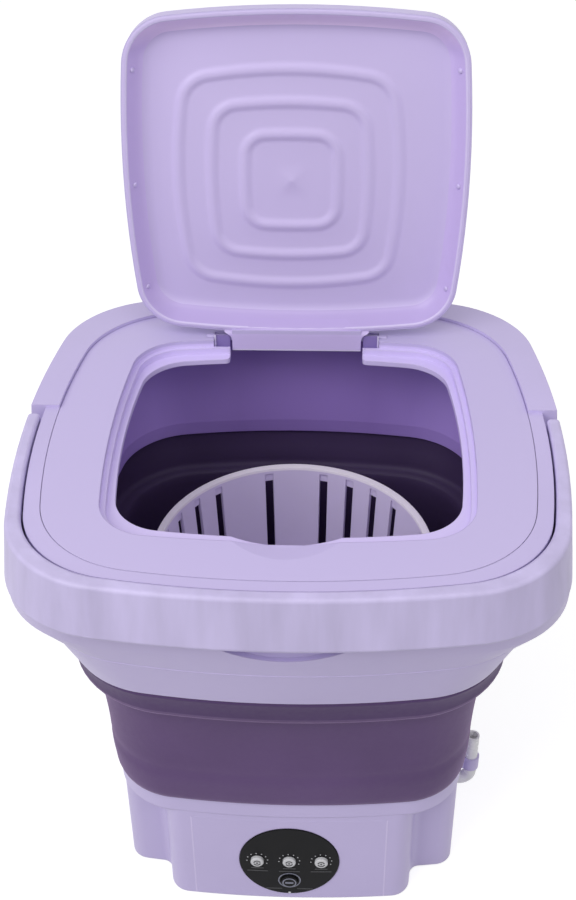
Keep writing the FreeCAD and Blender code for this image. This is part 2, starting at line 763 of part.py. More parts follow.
def lid_cover():
    """Outer lid shell with the hinge tab and barrel, drawn shut with the hinge axis at the origin."""
    block = loft("lid_block", (LID_EDGE, "recess", "-lid_gap"), (LID_TOP, "recess", "-lid_gap"),
                 shift=LID_SHIFT)
    top = number(LID_TOP)
    block = rounded("lid_round", block, "lid_edge_radius",
                    lambda edge: edge.BoundBox.ZMin > top - 0.01)
    inside = loft("lid_inside", (LID_EDGE + " - through", "recess", "-lid_gap - lid_wall"),
                  (LID_TOP + " - lid_wall", "recess", "-lid_gap - lid_wall"), shift=LID_SHIFT)
    shell = cut("lid_shell", block, inside)
    barrel = rod("lid_barrel", "barrel_radius", "2 * tab_half_width", "0 - tab_half_width", along="x")
    rear = "0 - hinge_setback - lid_gap - lid_wall"
    reach = "hinge_setback + lid_gap + lid_wall"
    tab = box("lid_tab", "0 - tab_half_width", rear, "0 - tab_drop", "2 * tab_half_width",
              "tab_reach + " + reach, "tab_thickness")
    web = box("lid_web", "0 - tab_half_width", rear, "0 - tab_drop", "2 * tab_half_width", reach,
              "tab_drop + wall / 2")
    solid = fuse("lid_solid", [shell, barrel, tab, web])
    bores = [rod(f"lid_bore_{count}", "hinge_pin_radius + running_fit", "hinge_pin_grip + through", x,
                 along="x")
             for count, x in enumerate(("tab_half_width - hinge_pin_grip", "0 - tab_half_width - through"))]
    keep(hang_lid(cut("lid_bored", solid, *bores)), "lid_cover")


def lid_liner():
    """Inner lid pan with three rounded square beads round the middle."""
    edge = "-lid_gap - lid_wall - seam_gap"
    pan = "-lid_gap - liner_flange"
    block = loft("liner_block", (LID_EDGE + " + seam_gap", "recess", edge),
                 (LID_TOP + " - lid_wall", "recess", edge), shift=LID_SHIFT)
    hollow = loft("liner_pan", (LID_EDGE + " - through", "recess", pan),
                  (LID_EDGE + " + seam_gap", "recess", pan),
                  (LINER_FLOOR, "recess", pan + " - liner_slope"), shift=LID_SHIFT)
    pieces = [cut("liner_tray", block, hollow)]
    crest = LINER_FLOOR + " - bead_height"
    for ring in range(3):
        wide = f"{ring} * bead_pitch"
        corner = f"{ring} * bead_corner_step"
        outer = loft(f"bead_{ring}_outer", (crest, "bead", wide + " + bead_crest", corner + " + bead_crest"),
                     (LINER_FLOOR, "bead", wide + " + bead_foot", corner + " + bead_foot"),
                     (LINER_FLOOR + " + liner_thickness / 2", "bead", wide + " + bead_foot",
                      corner + " + bead_foot"),
                     shift=LID_SHIFT)
        inner = loft(f"bead_{ring}_inner", (crest + " - through", "bead", wide + " - bead_crest",
                                            corner + " - bead_crest"),
                     (crest, "bead", wide + " - bead_crest", corner + " - bead_crest"),
                     (LINER_FLOOR, "bead", wide + " - bead_foot", corner + " - bead_foot"),
                     shift=LID_SHIFT)
        pieces.append(cut(f"bead_{ring}", outer, inner))
    keep(hang_lid(fuse("liner_solid", pieces)), "lid_liner")


def carry_handle():
    """U-shaped handle round the front of the rim, with round ends about its pivot."""
    band = loft("handle_band", ("handle_level", "rim"), ("band_level", "top"))
    inside = loft("handle_inside", ("handle_level - through", "neck", "slit"),
                  ("band_level + through", "neck", "slit"))
    behind = box("handle_behind", "0 - belly_half_width - through", "handle_end", "handle_level - through",
                 WIDE, "2 * rim_half_depth", "band_level - handle_level + 2 * through")
    heel = box("handle_heel", "0 - belly_half_width - through", PIVOT_BACK, "handle_level - through", WIDE,
               PIVOT_DROP + " + through", PIVOT_DROP + " + through")
    heel_round = rod("handle_heel_round", PIVOT_DROP, WIDE, "0 - belly_half_width - through",
                     PIVOT_BACK, PIVOT_LEVEL, "x")
    bore = rod("handle_bores", "pivot_radius + running_fit",
               "2 * neck_half_width + 2 * slit + 2 * pivot_depth",
               "0 - neck_half_width - slit - pivot_depth", PIVOT_BACK, PIVOT_LEVEL, "x")
    handle = cut("handle_solid", band, inside, behind, cut("handle_heel_cut", heel, heel_round), bore)
    top = size("band_level")
    low = size("handle_level")
    handle = rounded("handle_round", handle, "handle_edge_radius",
                     lambda edge: edge.BoundBox.ZMin > top - 0.01 or edge.BoundBox.ZMax < low + 0.01)
    keep(handle, "carry_handle")


def pivot_pins():
    """Pins that carry the handle in the wall of the rim, held in by the inner liner."""
    length = "wall + slit + pivot_depth - seam_gap"
    starts = ("neck_half_width - wall", "0 - neck_half_width - slit - pivot_depth + seam_gap")
    pins = [rod(f"pivot_pin_{count}", "pivot_radius", length, x, PIVOT_BACK, PIVOT_LEVEL, "x")
            for count, x in enumerate(starts, start=1)]
    keep(group("pivot_pin_pair", pins), "handle_pivot_pins")


def bellows():
    """Soft folding wall of the tub: foot on the base flange, collar and a cuff inside the skirt."""
    middle = [("bulge_level", "bulge"), ("kink_level", "kink"), ("crease_level", "crease"),
              ("collar_level", "collar")]
    body = loft("bellows_body", ("base_level", "base"), *middle, ("skirt_level - seam_gap", "skirt"))
    cuff_foot = "skirt_level - seam_gap - wall"
    cuff = loft("bellows_cuff", (cuff_foot, "skirt", CUFF), ("cuff_top", "skirt", CUFF))
    outside = fuse("bellows_outside", [body, cuff])
    hollow = [("base_level + bellows_foot_height", "base", "-bellows_wall")]
    hollow += [(level, family, "-bellows_wall") for level, family in middle]
    hollow += [(level, "skirt", CUFF + " - bellows_wall") for level in (cuff_foot, "cuff_top + through")]
    hole = loft("bellows_hole", ("base_level - through", "base", "-bellows_foot_width"),
                ("base_level + bellows_foot_height + through", "base", "-bellows_foot_width"))
    wall = cut("bellows_wall_shell", outside, loft("bellows_inside", *hollow), hole)
    keep(cut("bellows_drilled", wall, clamp_screw_holes("bellows")), "bellows")


def clamp_screw_places():
    """Places of the clamp ring screws, two on each side of the flange."""
    side = "base_half_width - clamp_screw_inset"
    front = "base_half_depth - clamp_screw_inset"
    return four_places(side, "clamp_screw_spread") + four_places("clamp_screw_spread", front)


def clamp_screw_holes(name):
    holes = [rod(f"{name}_clamp_hole_{count}", "screw_radius + running_fit", "clamp_screw_length + through",
                 x, y, CLAMP_TOP + " - clamp_screw_length - seam_gap")
             for count, (x, y) in enumerate(clamp_screw_places(), start=1)]
    return group(f"{name}_clamp_holes", holes)


def bellows_clamp():
    """Ring that presses the foot of the bellows on the base flange, with its screws."""
    foot_top = "base_level + bellows_foot_height"
    outside = loft("clamp_outside", (foot_top, "base", "-bellows_wall - seam_gap"),
                   (CLAMP_TOP, "base", "-bellows_wall - seam_gap"))
    inside = loft("clamp_inside", (foot_top + " - through", "base", "-bellows_foot_width"),
                  (CLAMP_TOP + " + through", "base", "-bellows_foot_width"))
    keep(cut("clamp_ring", outside, inside, clamp_screw_holes("clamp")), "bellows_clamp_ring")
    screws = [screw(f"clamp_screw_{count}", "clamp_screw_length", x, y, CLAMP_TOP + " + screw_head_height",
                    "-z")
              for count, (x, y) in enumerate(clamp_screw_places(), start=1)]
    keep(group("clamp_screw_set", screws), "clamp_ring_screws")


def case_screw_places():
    """Places of the gear case screws on their circle."""
    reach = f"{DIAGONAL} * case_screw_radius"
    return [(f"case_x {sign} {reach}", y) for sign in ("+", "-") for y in (reach, opposite(reach))]


def case_screw_holes(name, low, length):
    holes = [rod(f"{name}_case_hole_{count}", "screw_radius + running_fit", length, x, y, low)
             for count, (x, y) in enumerate(case_screw_places(), start=1)]
    return group(f"{name}_case_holes", holes)


def base_blocks(name, low, high, grow):
    """The two crossing blocks of the base as lofts."""
    return [loft(f"{name}_{family}", (low, family, grow), (high, family, grow))
            for family in ("block", "lobe")]


def base_housing():
    """Cross-shaped base shell with its deck, flange and screw bosses."""
    cross = fuse("base_cross", base_blocks("base", "base_lift", "flange_level", "0"))

    def is_notch(edge):
        bounds = edge.BoundBox
        upright = bounds.ZLength > size("notch_radius") and bounds.XLength + bounds.YLength < 0.1
        across = abs(bounds.Center.x) < size("block_half_width")
        along = abs(bounds.Center.y) < size("lobe_half_depth")
        return upright and across and along

    cross = rounded("base_cross_round", cross, "notch_radius", is_notch)
    flange = loft("base_flange", ("base_deck_level", "base", "-wall"), ("flange_level", "base"),
                  ("base_level", "base"))
    solid = fuse("base_solid", [cross, flange])
    hollow = base_blocks("base_hollow", "base_lift - through", "base_deck_level", "-wall")
    pocket = loft("base_pocket", (DECK_TOP, "base", "-flange_width"),
                  ("base_level + through", "base", "-flange_width"))
    shell = cut("base_shell", solid, *hollow, pocket)
    boss_places = four_places("cover_boss_x", "cover_boss_y")
    boss_low = "foot_height + cover_thickness"
    bosses = [rod(f"base_boss_{count}", "cover_boss_radius",
                  "base_deck_level - foot_height - cover_thickness",
                  x, y, boss_low) for count, (x, y) in enumerate(boss_places, start=1)]
    boss_holes = [rod(f"base_boss_hole_{count}", "screw_radius + running_fit", "cover_screw_length", x, y,
                      boss_low)
                  for count, (x, y) in enumerate(boss_places, start=1)]
    window = box("base_window", "0 - panel_half_width", "0 - block_half_depth - through",
                 "base_lift - through", "2 * panel_half_width", "panel_depth + through",
                 "panel_top - base_lift + through")
    shaft_hole = rod("base_shaft_hole", "shaft_radius + slit", "base_deck_thickness + 2 * through",
                     z="base_deck_level - through")
    drain_hole = rod("base_drain_hole", "drain_bore_radius", "base_deck_thickness + 2 * through",
                     "drain_x", "drain_y", "base_deck_level - through")
    nozzle_hole = rod("base_nozzle_hole", "nozzle_radius + running_fit", "3 * wall + through",
                      "lobe_half_width - 3 * wall", "drain_y", "drain_level", "x")
    inlet_hole = rod("base_inlet_hole", "inlet_radius + running_fit", "3 * wall + through",
                     "inlet_x", "block_half_depth - 3 * wall", "inlet_level", "y")
    housing = cut("base_drilled", fuse("base_bossed", [shell] + bosses), group("base_boss_holes", boss_holes),
                  window, shaft_hole, drain_hole, nozzle_hole, inlet_hole, clamp_screw_holes("base"),
                  case_screw_holes("base", "base_deck_level - through", "base_deck_thickness + 2 * through"))
    keep(housing, "base_housing")


def bottom_cover():
    """Cover under the base, with its screws and the rubber feet."""
    plate = fuse("bottom_plate", base_blocks("bottom", "foot_height", "foot_height + cover_thickness",
                                             "-wall - seam_gap"))
    screw_places = list(enumerate(four_places("cover_boss_x", "cover_boss_y"), start=1))
    foot_places = list(enumerate(four_places("foot_x", "foot_y"), start=1))
    holes = [rod(f"bottom_hole_{count}", "screw_radius + running_fit", "cover_thickness + 2 * through", x, y,
                 "foot_height - through") for count, (x, y) in screw_places]
    holes += [rod(f"bottom_peg_hole_{count}", "foot_peg_radius + running_fit",
                  "cover_thickness + 2 * through", x, y,
                  "foot_height - through") for count, (x, y) in foot_places]
    keep(cut("bottom_drilled", plate, group("bottom_holes", holes)), "bottom_cover")
    screws = [screw(f"bottom_screw_{count}", "cover_screw_length", x, y, "foot_height - screw_head_height",
                    "z")
              for count, (x, y) in screw_places]
    keep(group("bottom_screw_set", screws), "bottom_cover_screws")
    top = "foot_height + foot_peg_height"
    profile = [("0", "0"), ("foot_radius", "0"), ("foot_radius", "foot_height"),
               ("foot_peg_radius", "foot_height"), ("foot_peg_radius", top), ("0", top)]
    feet = [place(turned(f"foot_{count}", profile), x, y) for count, (x, y) in foot_places]
    keep(group("foot_set", feet), "rubber_feet")


def button_places():
    """Buttons by name: place across, level and radius."""
    pitch = "button_pitch"
    return {
        "mode_button_left": (opposite(pitch), "button_level", "button_radius"),
        "mode_button_middle": ("0", "button_level", "button_radius"),
        "mode_button_right": (pitch, "button_level", "button_radius"),
        "start_button": ("0", "start_level", "start_radius"),
    }


def board_post_places():
    return [(x, z) for x in ("board_half_width - board_post_inset", "0 - board_half_width + board_post_inset")
            for z in ("board_bottom + board_post_inset", "board_bottom + board_height - board_post_inset")]


def lens_prism(name, grow):
    """Oval prism with the outline of the lens, from the front to behind the panel."""
    edge = doc.addObject("Part::Ellipse", f"{name}_edge")
    bind(edge, MajorRadius=f"lens_half_width + lens_extra_height + {grow}",
         MinorRadius=f"lens_half_width + {grow}")
    place(edge, "0", "0 - block_half_depth - through", "lens_level", Rotation(Vector(1, 1, 1), -120))
    prism = doc.addObject("Part::Extrusion", name)
    prism.Base = edge
    prism.DirMode = "Custom"
    prism.Dir = Vector(0, 1, 0)
    prism.Solid = True
    bind(prism, LengthFwd="panel_depth + through")
    return prism


def control_panel():
    """Front plate of the base with its lens and the posts of the control board."""
    skin = [loft(f"panel_skin_{count}", ("base_lift", "block", grow), ("flange_level", "block", grow))
            for count, grow in enumerate(("0", "-wall", "lens_proud", "-lens_sunk"), start=1)]
    front = box("panel_front", "0 - panel_half_width + seam_gap", "0 - block_half_depth - through",
                "base_lift", "2 * panel_half_width - 2 * seam_gap", "panel_depth + through",
                "panel_top - base_lift - seam_gap")
    plate = common("panel_plate", cut("panel_wall", skin[0], skin[1]), front)
    post_start = "0 - block_half_depth + wall / 2 + button_flange_bow"
    posts = [rod(f"panel_post_{count}", "board_post_radius", BOARD_FRONT + " + block_half_depth - wall / 2"
                 " - button_flange_bow", x, post_start, z, "y")
             for count, (x, z) in enumerate(board_post_places(), start=1)]
    post_holes = [rod(f"panel_post_hole_{count}", "screw_radius + running_fit", "board_screw_length", x,
                      BOARD_FRONT + " - board_screw_length", z, "y")
                  for count, (x, z) in enumerate(board_post_places(), start=1)]
    button_holes = [rod(f"panel_{label}_hole", radius + " + seam_gap", "panel_depth + through", x,
                        "0 - block_half_depth - through", z, "y")
                    for label, (x, z, radius) in button_places().items()]
    holes = group("panel_button_holes", button_holes)
    recess = cut("panel_recess", lens_prism("panel_recess_prism", "seam_gap"), skin[3])
    solid = fuse("panel_solid", [plate] + posts)
    keep(cut("panel_drilled", solid, recess, holes, group("panel_post_holes", post_holes)), "control_panel")
    lens = common("lens_plate", lens_prism("lens_solid", "0"), cut("lens_skin", skin[2], skin[3]))
    keep(cut("lens_drilled", lens, holes), "control_lens")


def buttons():
    """Push buttons, each with a retaining flange behind the panel."""
    neck = "button_proud + lens_proud + wall + seam_gap + button_flange_bow"
    back = neck + " + button_flange_height"
    for label, (x, z, radius) in button_places().items():
        edge = radius + " - button_chamfer"
        rim = radius + " + button_flange"
        body = turned(label + "_body", [("0", "0"), (edge, "0"), (radius, "button_chamfer"), (radius, neck),
                                        (rim, neck), (rim, back), ("0", back)])
        keep(place(body, x, "0 - block_half_depth - lens_proud - button_proud", z, AXES["y"]), label)


def control_board():
    """Circuit board behind the panel with its switches and screws."""
    board = box("board_plate", "0 - board_half_width", BOARD_FRONT, "board_bottom", "2 * board_half_width",
                "board_thickness", "board_height")
    holes = [rod(f"board_hole_{count}", "screw_radius + running_fit", "board_thickness + 2 * through", x,
                 BOARD_FRONT + " - through", z, "y")
             for count, (x, z) in enumerate(board_post_places(), start=1)]
    keep(cut("board_drilled", board, group("board_holes", holes)), "control_board")
    switches = [box(f"{label}_switch", x + " - switch_size / 2", SWITCH_FRONT, z + " - switch_size / 2",
                    "switch_size", "switch_height", "switch_size")
                for label, (x, z, _) in button_places().items()]
    keep(group("switch_set", switches), "button_switches")
    screws = [screw(f"board_screw_{count}", "board_thickness + board_screw_length - seam_gap", x,
                    BOARD_BACK + " + screw_head_height", z, "-y")
              for count, (x, z) in enumerate(board_post_places(), start=1)]
    keep(group("board_screw_set", screws), "control_board_screws")


def tub_floor():
    """Watertight floor of the tub with the shaft hub, the screw bosses and the drain hole."""
    grow = "-flange_width - seam_gap"
    plate = loft("floor_plate", (DECK_TOP, "base", grow), (FLOOR_TOP, "base", grow))
    hub = rod("floor_hub", "hub_boss_radius", "hub_boss_level - base_deck_level - base_deck_thickness",
              z=DECK_TOP)
    bosses = [rod(f"floor_boss_{count}", "floor_boss_radius", "floor_thickness + floor_boss_height", x, y,
                  DECK_TOP)
              for count, (x, y) in enumerate(case_screw_places(), start=1)]
    bush_bore = rod("floor_bush_bore", "bush_radius + running_fit", "bush_length + through",
                    z="base_deck_level + base_deck_thickness - through")
    seal_bore = rod("floor_seal_bore", "seal_radius + running_fit", "hub_boss_level",
                    z="base_deck_level + base_deck_thickness + bush_length")
    drain = rod("floor_drain", "drain_bore_radius", "floor_thickness + 2 * through", "drain_x", "drain_y",
                "base_deck_level + base_deck_thickness - through")
    seat = rod("floor_grate_seat", "drain_flange_radius", "grate_thickness + through", "drain_x", "drain_y",
               FLOOR_TOP + " - grate_thickness")
    screws = case_screw_holes("floor", "base_deck_level",
                              "case_screw_length - case_flange_thickness + seam_gap")
    keep(cut("floor_drilled", fuse("floor_solid", [plate, hub] + bosses), bush_bore, seal_bore, drain, seat,
             screws),
         "tub_floor")
    grate = rod("grate_plate", "drain_flange_radius - seam_gap", "grate_thickness", "drain_x", "drain_y",
                FLOOR_TOP + " - grate_thickness")
    spots = [("drain_x", "drain_y"), ("drain_x + grate_hole_reach", "drain_y"),
             ("drain_x - grate_hole_reach", "drain_y"),
             ("drain_x", "drain_y + grate_hole_reach"), ("drain_x", "drain_y - grate_hole_reach")]
    holes = [rod(f"grate_hole_{count}", "grate_hole_radius", "grate_thickness + 2 * through", x, y,
                 FLOOR_TOP + " - grate_thickness - through") for count, (x, y) in enumerate(spots, start=1)]
    keep(cut("grate_drilled", grate, group("grate_holes", holes)), "drain_grate")


def gear_case():
    """Gear case under the deck, with its screws up into the tub floor."""
    can = rod("case_can", "case_radius", "base_deck_level - case_level", "case_x", z="case_level")
    rim = rod("case_rim", "case_flange_radius", "case_flange_thickness", "case_x",
              z="base_deck_level - case_flange_thickness")
    room = rod("case_room", "case_radius - wall", "base_deck_level", "case_x", z=CASE_FLOOR)
    boss = rod("case_boss", "case_boss_radius", "bush_length", z="case_level")
    hollow = cut("case_hollow", fuse("case_solid", [can, rim]), room)
    bush_bore = rod("case_bush_bore", "bush_radius + running_fit", "bush_length + 2 * through",
                    z="case_level - through")
    pilot = rod("case_pilot", "motor_pilot_radius + running_fit", "wall + 2 * through", GEAR_CENTRES,
                z="case_level - through")
    holes = case_screw_holes("case", "base_deck_level - case_flange_thickness - through",
                             "case_flange_thickness + 2 * through")
    case = cut("case_drilled", fuse("case_bossed", [hollow, boss]), bush_bore, pilot, holes,
               motor_screw_holes("case"))
    keep(case, "gear_case")
    screws = [screw(f"case_screw_{count}", "case_screw_length", x, y,
                    "base_deck_level - case_flange_thickness - screw_head_height", "z")
              for count, (x, y) in enumerate(case_screw_places(), start=1)]
    keep(group("case_screw_set", screws), "gear_case_screws")


def motor_screw_places():
    return [(GEAR_CENTRES, "motor_screw_reach"), (GEAR_CENTRES, "0 - motor_screw_reach")]


def motor_screw_holes(name):
    holes = [rod(f"{name}_motor_hole_{count}", "screw_radius + running_fit", "motor_screw_length + through",
                 x, y,
                 CASE_FLOOR + " - motor_screw_length - seam_gap")
             for count, (x, y) in enumerate(motor_screw_places(), start=1)]
    return group(f"{name}_motor_holes", holes)


def motor():
    """Motor under the gear case, its screws, and the turning shaft with its pinion."""
    top = "motor_length + wall"
    bore = "motor_shaft_radius + running_fit"
    bottom = "motor_length - motor_pilot_radius"
    body = turned("motor_body", [
        ("0", "0"), ("motor_radius", "0"), ("motor_radius", "motor_length"),
        ("motor_pilot_radius", "motor_length"), ("motor_pilot_radius", top), (bore, top), (bore, bottom),
        ("0", bottom)])
    place(body, GEAR_CENTRES, "0", "case_level - motor_length")
    keep(cut("motor_drilled", body, motor_screw_holes("motor")), "drive_motor")
    screws = [screw(f"motor_screw_{count}", "motor_screw_length", x, y, CASE_FLOOR + " + screw_head_height",
                    "-z")
              for count, (x, y) in enumerate(motor_screw_places(), start=1)]
    keep(group("motor_screw_set", screws), "motor_screws")
    shaft = rod("motor_spindle", "motor_shaft_radius",
                "gear_level + gear_width - case_level + motor_pilot_radius - seam_gap", GEAR_CENTRES,
                z="case_level - motor_pilot_radius + seam_gap")
    keep(shaft, "motor_shaft")
    pinion = spur_gear("pinion_blank", "pinion_teeth", "motor_shaft_radius + running_fit")
    half_tooth = 180 / size("pinion_teeth")
    keep(place(pinion, GEAR_CENTRES, "0", "gear_level", Rotation(Vector(0, 0, 1), half_tooth)),
         "motor_pinion")


def spur_gear(name, teeth, bore):
    """Spur gear at the origin; each involute flank is drawn as an arc through three of its points."""
    count = int(size(teeth))
    module = size("gear_module")
    pressure = math.radians(20)
    pitch = module * count / 2
    base = pitch * math.cos(pressure)
    root = pitch - 1.25 * module
    tip = pitch + module
    thickness = math.pi / (2 * count) - size("gear_backlash") / (4 * pitch)

    def flank(radius):
        """Half angle of a tooth at a radius."""
        slope = math.acos(min(1.0, base / radius))
        return thickness + math.tan(pressure) - pressure - math.tan(slope) + slope

    def point(radius, angle):
        return Vector(radius * math.cos(angle), radius * math.sin(angle), 0)

    edges = []
    step = 2 * math.pi / count
    for tooth in range(count):
        middle = tooth * step
        for_side = [(root, flank(root)), (pitch, flank(pitch)), (tip, flank(tip))]
        rising = [point(radius, middle - half) for radius, half in for_side]
        falling = [point(radius, middle + half) for radius, half in reversed(for_side)]
        following = point(root, middle + step - flank(root))
        edges.append(Part.Arc(*rising).toShape())
        edges.append(Part.Arc(rising[2], point(tip, middle), falling[0]).toShape())
        edges.append(Part.Arc(*falling).toShape())
        edges.append(Part.Arc(falling[2], point(root, middle + step / 2), following).toShape())
    face = Part.Face(Part.Wire(edges))
    hole = Part.makeCylinder(number(bore), size("gear_width"))
    gear = doc.addObject("Part::Feature", name)
    gear.Shape = face.extrude(Vector(0, 0, size("gear_width"))).cut(hole)
    return gear


def drive_shaft():
    """Pulsator shaft with its gear, bushes and seal."""
    length = "pulsator_level + pulsator_thickness - case_level - seam_gap"
    bore = "screw_radius + running_fit"
    bottom = length + " - pulsator_screw_grip"
    shaft = turned("shaft_body", [("0", "0"), ("shaft_radius", "0"), ("shaft_radius", length), (bore, length),
                                  (bore, bottom), ("0", bottom)])
    keep(place(shaft, z="case_level + seam_gap"), "drive_shaft")
    gear = spur_gear("gear_blank", "gear_teeth", "shaft_radius + running_fit")
    keep(place(gear, z="gear_level"), "driven_gear")
    inner = "shaft_radius + running_fit"
    keep(washer("upper_bush_ring", "bush_radius", inner, "bush_length", z=DECK_TOP), "upper_bush")
    keep(washer("lower_bush_ring", "bush_radius", inner, "bush_length", z="case_level"), "lower_bush")
    keep(washer("seal_ring", "seal_radius", inner, "seal_height", z=DECK_TOP + " + bush_length"),
         "shaft_seal")


def pulsator():
    """Pulsator disc with its dome and vanes, and the screw that holds it on the shaft."""
    bore = "shaft_radius + running_fit"
    hole = "screw_radius + running_fit"
    disc = turned("pulsator_disc", [
        (bore, "0"), ("pulsator_radius", "0"), ("pulsator_radius", "pulsator_thickness / 2"),
        ("pulsator_radius - pulsator_thickness / 2", "pulsator_thickness"),
        ("dome_radius", "pulsator_thickness"), ("dome_radius - wall", "dome_height"), (hole, "dome_height"),
        (hole, "pulsator_thickness"),
        (bore, "pulsator_thickness")])
    place(disc, z="pulsator_level")
    vanes = []
    for index in range(int(size("vane_count"))):
        vane = box(f"vane_{index}", "0", "0", "0", "vane_end - vane_start", "vane_width",
                   "vane_height + pulsator_thickness / 2")
        turn = Rotation(Vector(0, 0, 1), 360 * index / size("vane_count"))
        corner = Vector(size("vane_start"), -size("vane_width") / 2,
                        number("pulsator_level + pulsator_thickness / 2"))
        vanes.append(around(vane, corner, turn))
    keep(fuse("pulsator_solid", [disc] + vanes), "pulsator")
    keep(screw("pulsator_bolt", "dome_height - pulsator_thickness + pulsator_screw_grip - seam_gap", "0", "0",
               "pulsator_level + dome_height + screw_head_height", "-z"), "pulsator_screw")


def around(piece, corner, turn):
    """Put a piece at a corner and turn both about the middle of the machine."""
    for place_name in ("Placement.Base.x", "Placement.Base.y", "Placement.Base.z"):
        piece.setExpression(place_name, None)
    piece.Placement = Placement(turn.multVec(corner), turn)
    return piece


def basket():
    """Slotted spin basket that stands on the pulsator."""
    tall = "basket_level - pulsator_level - pulsator_thickness - vane_height - basket_gap"
    under_rim = tall + " - basket_rim_height"
    hub = "dome_radius + basket_hub_gap"
    outer = "basket_rim_radius - basket_rim_width"
    bowl = turned("basket_bowl", [
        (hub, "0"), ("basket_foot_radius", "0"), (outer, under_rim), ("basket_rim_radius", under_rim),
        ("basket_rim_radius", tall), (outer + " - basket_wall", tall),
        ("basket_foot_radius - basket_wall", "basket_floor"), (hub, "basket_floor")])
    place(bowl, z=BASKET_BOTTOM)
    low = number(BASKET_BOTTOM)
    slots, grooves, holes = [], [], []
    for index in range(int(size("basket_slot_positions"))):
        turn = Rotation(Vector(0, 0, 1), 90 - 360 * index / size("basket_slot_positions"))
        side = -size("basket_slot_width") / 2
        if index % SLOT_GROUP not in SLOTTED:
            continue
        slot = box(f"slot_{index}", "0", "0", "0", "2 * basket_rim_radius - 2 * basket_foot_radius",
                   "basket_slot_width",
                   tall + " - basket_slot_top - basket_slot_bottom")
        inner = number("2 * basket_foot_radius - basket_rim_radius")
        slots.append(around(slot, Vector(inner, side, low + size("basket_slot_bottom")), turn))
        groove = box(f"groove_{index}", "0", "0", "0", "basket_groove_depth + through", "basket_slot_width",
                     "basket_slot_top - basket_rim_height + through")
        reach = number(outer + " - basket_wall - through")
        start = number("basket_level - basket_slot_top - through")
        grooves.append(around(groove, Vector(reach, side, start), turn))
    for index in range(int(size("basket_hole_count"))):
        turn = Rotation(Vector(0, 0, 1), 360 * index / size("basket_hole_count"))
        hole = rod(f"basket_hole_{index}", "basket_hole_radius", "basket_floor + 2 * through")
        middle = (number(hub) + size("basket_foot_radius")) / 2
        holes.append(around(hole, Vector(middle, 0, low - size("through")), turn))
    keep(cut("basket_cut", bowl, group("slot_set", slots), group("groove_set", grooves),
             group("basket_holes", holes)),
         "spin_basket")


def drain():
    """Drain pipe from the tub floor to the side, and the hose held up by its clip."""
    down = rod("drain_down", "drain_pipe_radius", "base_deck_level - drain_level + drain_pipe_radius",
               "drain_x",
               "drain_y", "drain_level - drain_pipe_radius")
    out = rod("drain_out", "drain_out_radius", "lobe_half_width - 2 * wall - drain_x", "drain_x", "drain_y",
              "drain_level", "x")
    nozzle = rod("drain_nozzle", "nozzle_radius", "hose_x - hose_bend - drain_x", "drain_x", "drain_y",
                 "drain_level", "x")
    down_bore = rod("drain_down_bore", "drain_bore_radius", "base_deck_level", "drain_x", "drain_y",
                    "drain_level - drain_bore_radius")
    out_bore = rod("drain_out_bore", "nozzle_bore_radius", "hose_x", "drain_x", "drain_y", "drain_level", "x")
    keep(cut("drain_bored", fuse("drain_solid", [down, out, nozzle]), down_bore, out_bore), "drain_pipe")
    hose = cut("hose_tube", hose_solid("hose_outside", "hose_radius", "0"),
               hose_solid("hose_inside", "nozzle_radius + running_fit", "through"))
    keep(hose, "drain_hose")
    arm = box("clip_arm", LOBE_FACE + " + seam_gap", "drain_y - nozzle_radius", "clip_level",
              "hose_outset + drain_y * drain_y / lobe_side_radius / 2 - seam_gap", "2 * nozzle_radius",
              "clip_height")
    ring = rod("clip_ring", "clip_ring_radius", "clip_height", "hose_x", "drain_y", "clip_level")
    hole = rod("clip_hole", "hose_radius + running_fit", "clip_height + 2 * through", "hose_x", "drain_y",
               "clip_level - through")
    keep(cut("clip_bored", fuse("clip_solid", [arm, ring]), hole), "hose_clip")


def hose_solid(name, radius, spare):
    """Round bar along the route of the hose: out of the side, round a bend and up."""
    start = "lobe_half_width + seam_gap"
    run = rod(f"{name}_run", radius, f"hose_x - hose_bend - lobe_half_width - seam_gap + {spare}",
              f"{start} - {spare}",
              "drain_y", "drain_level", "x")
    rise = rod(f"{name}_rise", radius, f"hose_top - drain_level - hose_bend + {spare}", "hose_x", "drain_y",
               "drain_level + hose_bend")
    bend = doc.addObject("Part::Torus", f"{name}_bend")
    bind(bend, Radius1="hose_bend", Radius2=radius)
    bend.Angle3 = 90
    axes = Rotation(Vector(0, 0, -1), Vector(1, 0, 0), Vector(0, -1, 0), "XYZ")
    place(bend, "hose_x - hose_bend", "drain_y", "drain_level + hose_bend", axes)
    return fuse(name, [run, bend, rise])


def power_inlet():
    """Round power socket in the rear wall."""
    floor = "inlet_depth - wall"
    socket = turned("inlet_socket", [
        ("0", floor), ("inlet_bore_radius", floor), ("inlet_bore_radius", "0"),
        ("inlet_flange_radius", "0"), ("inlet_flange_radius", "inlet_flange_height"),
        ("inlet_radius", "inlet_flange_height"), ("inlet_radius", "inlet_depth"), ("0", "inlet_depth")])
    wall_face = ("block_half_depth - inlet_x * inlet_x / block_side_radius / 2"
                 " + inlet_x * inlet_flange_radius / block_side_radius"
                 " - inlet_flange_radius * inlet_flange_radius / block_side_radius / 2")
    place(socket, "inlet_x", wall_face + " + inlet_flange_height + running_fit", "inlet_level", AXES["-y"])
    keep(socket, "power_inlet")


def save_pieces():
    """Check every object of the document, then write each piece to its own file."""
    doc.recompute()
    failed = [thing.Name for thing in doc.Objects if {"Invalid", "Error"} & set(thing.State)]
    failed += [piece.Label for piece in PIECES if piece.Shape.isNull() or not piece.Shape.isValid()]
    if failed:
        raise RuntimeError("failed objects: " + ", ".join(failed))
    os.makedirs("parts", exist_ok=True)
    for piece in PIECES:
        piece.Shape.exportStep(f"parts/{piece.Label}.step")
        print(piece.Label, len(piece.Shape.Solids), round(piece.Shape.Volume))


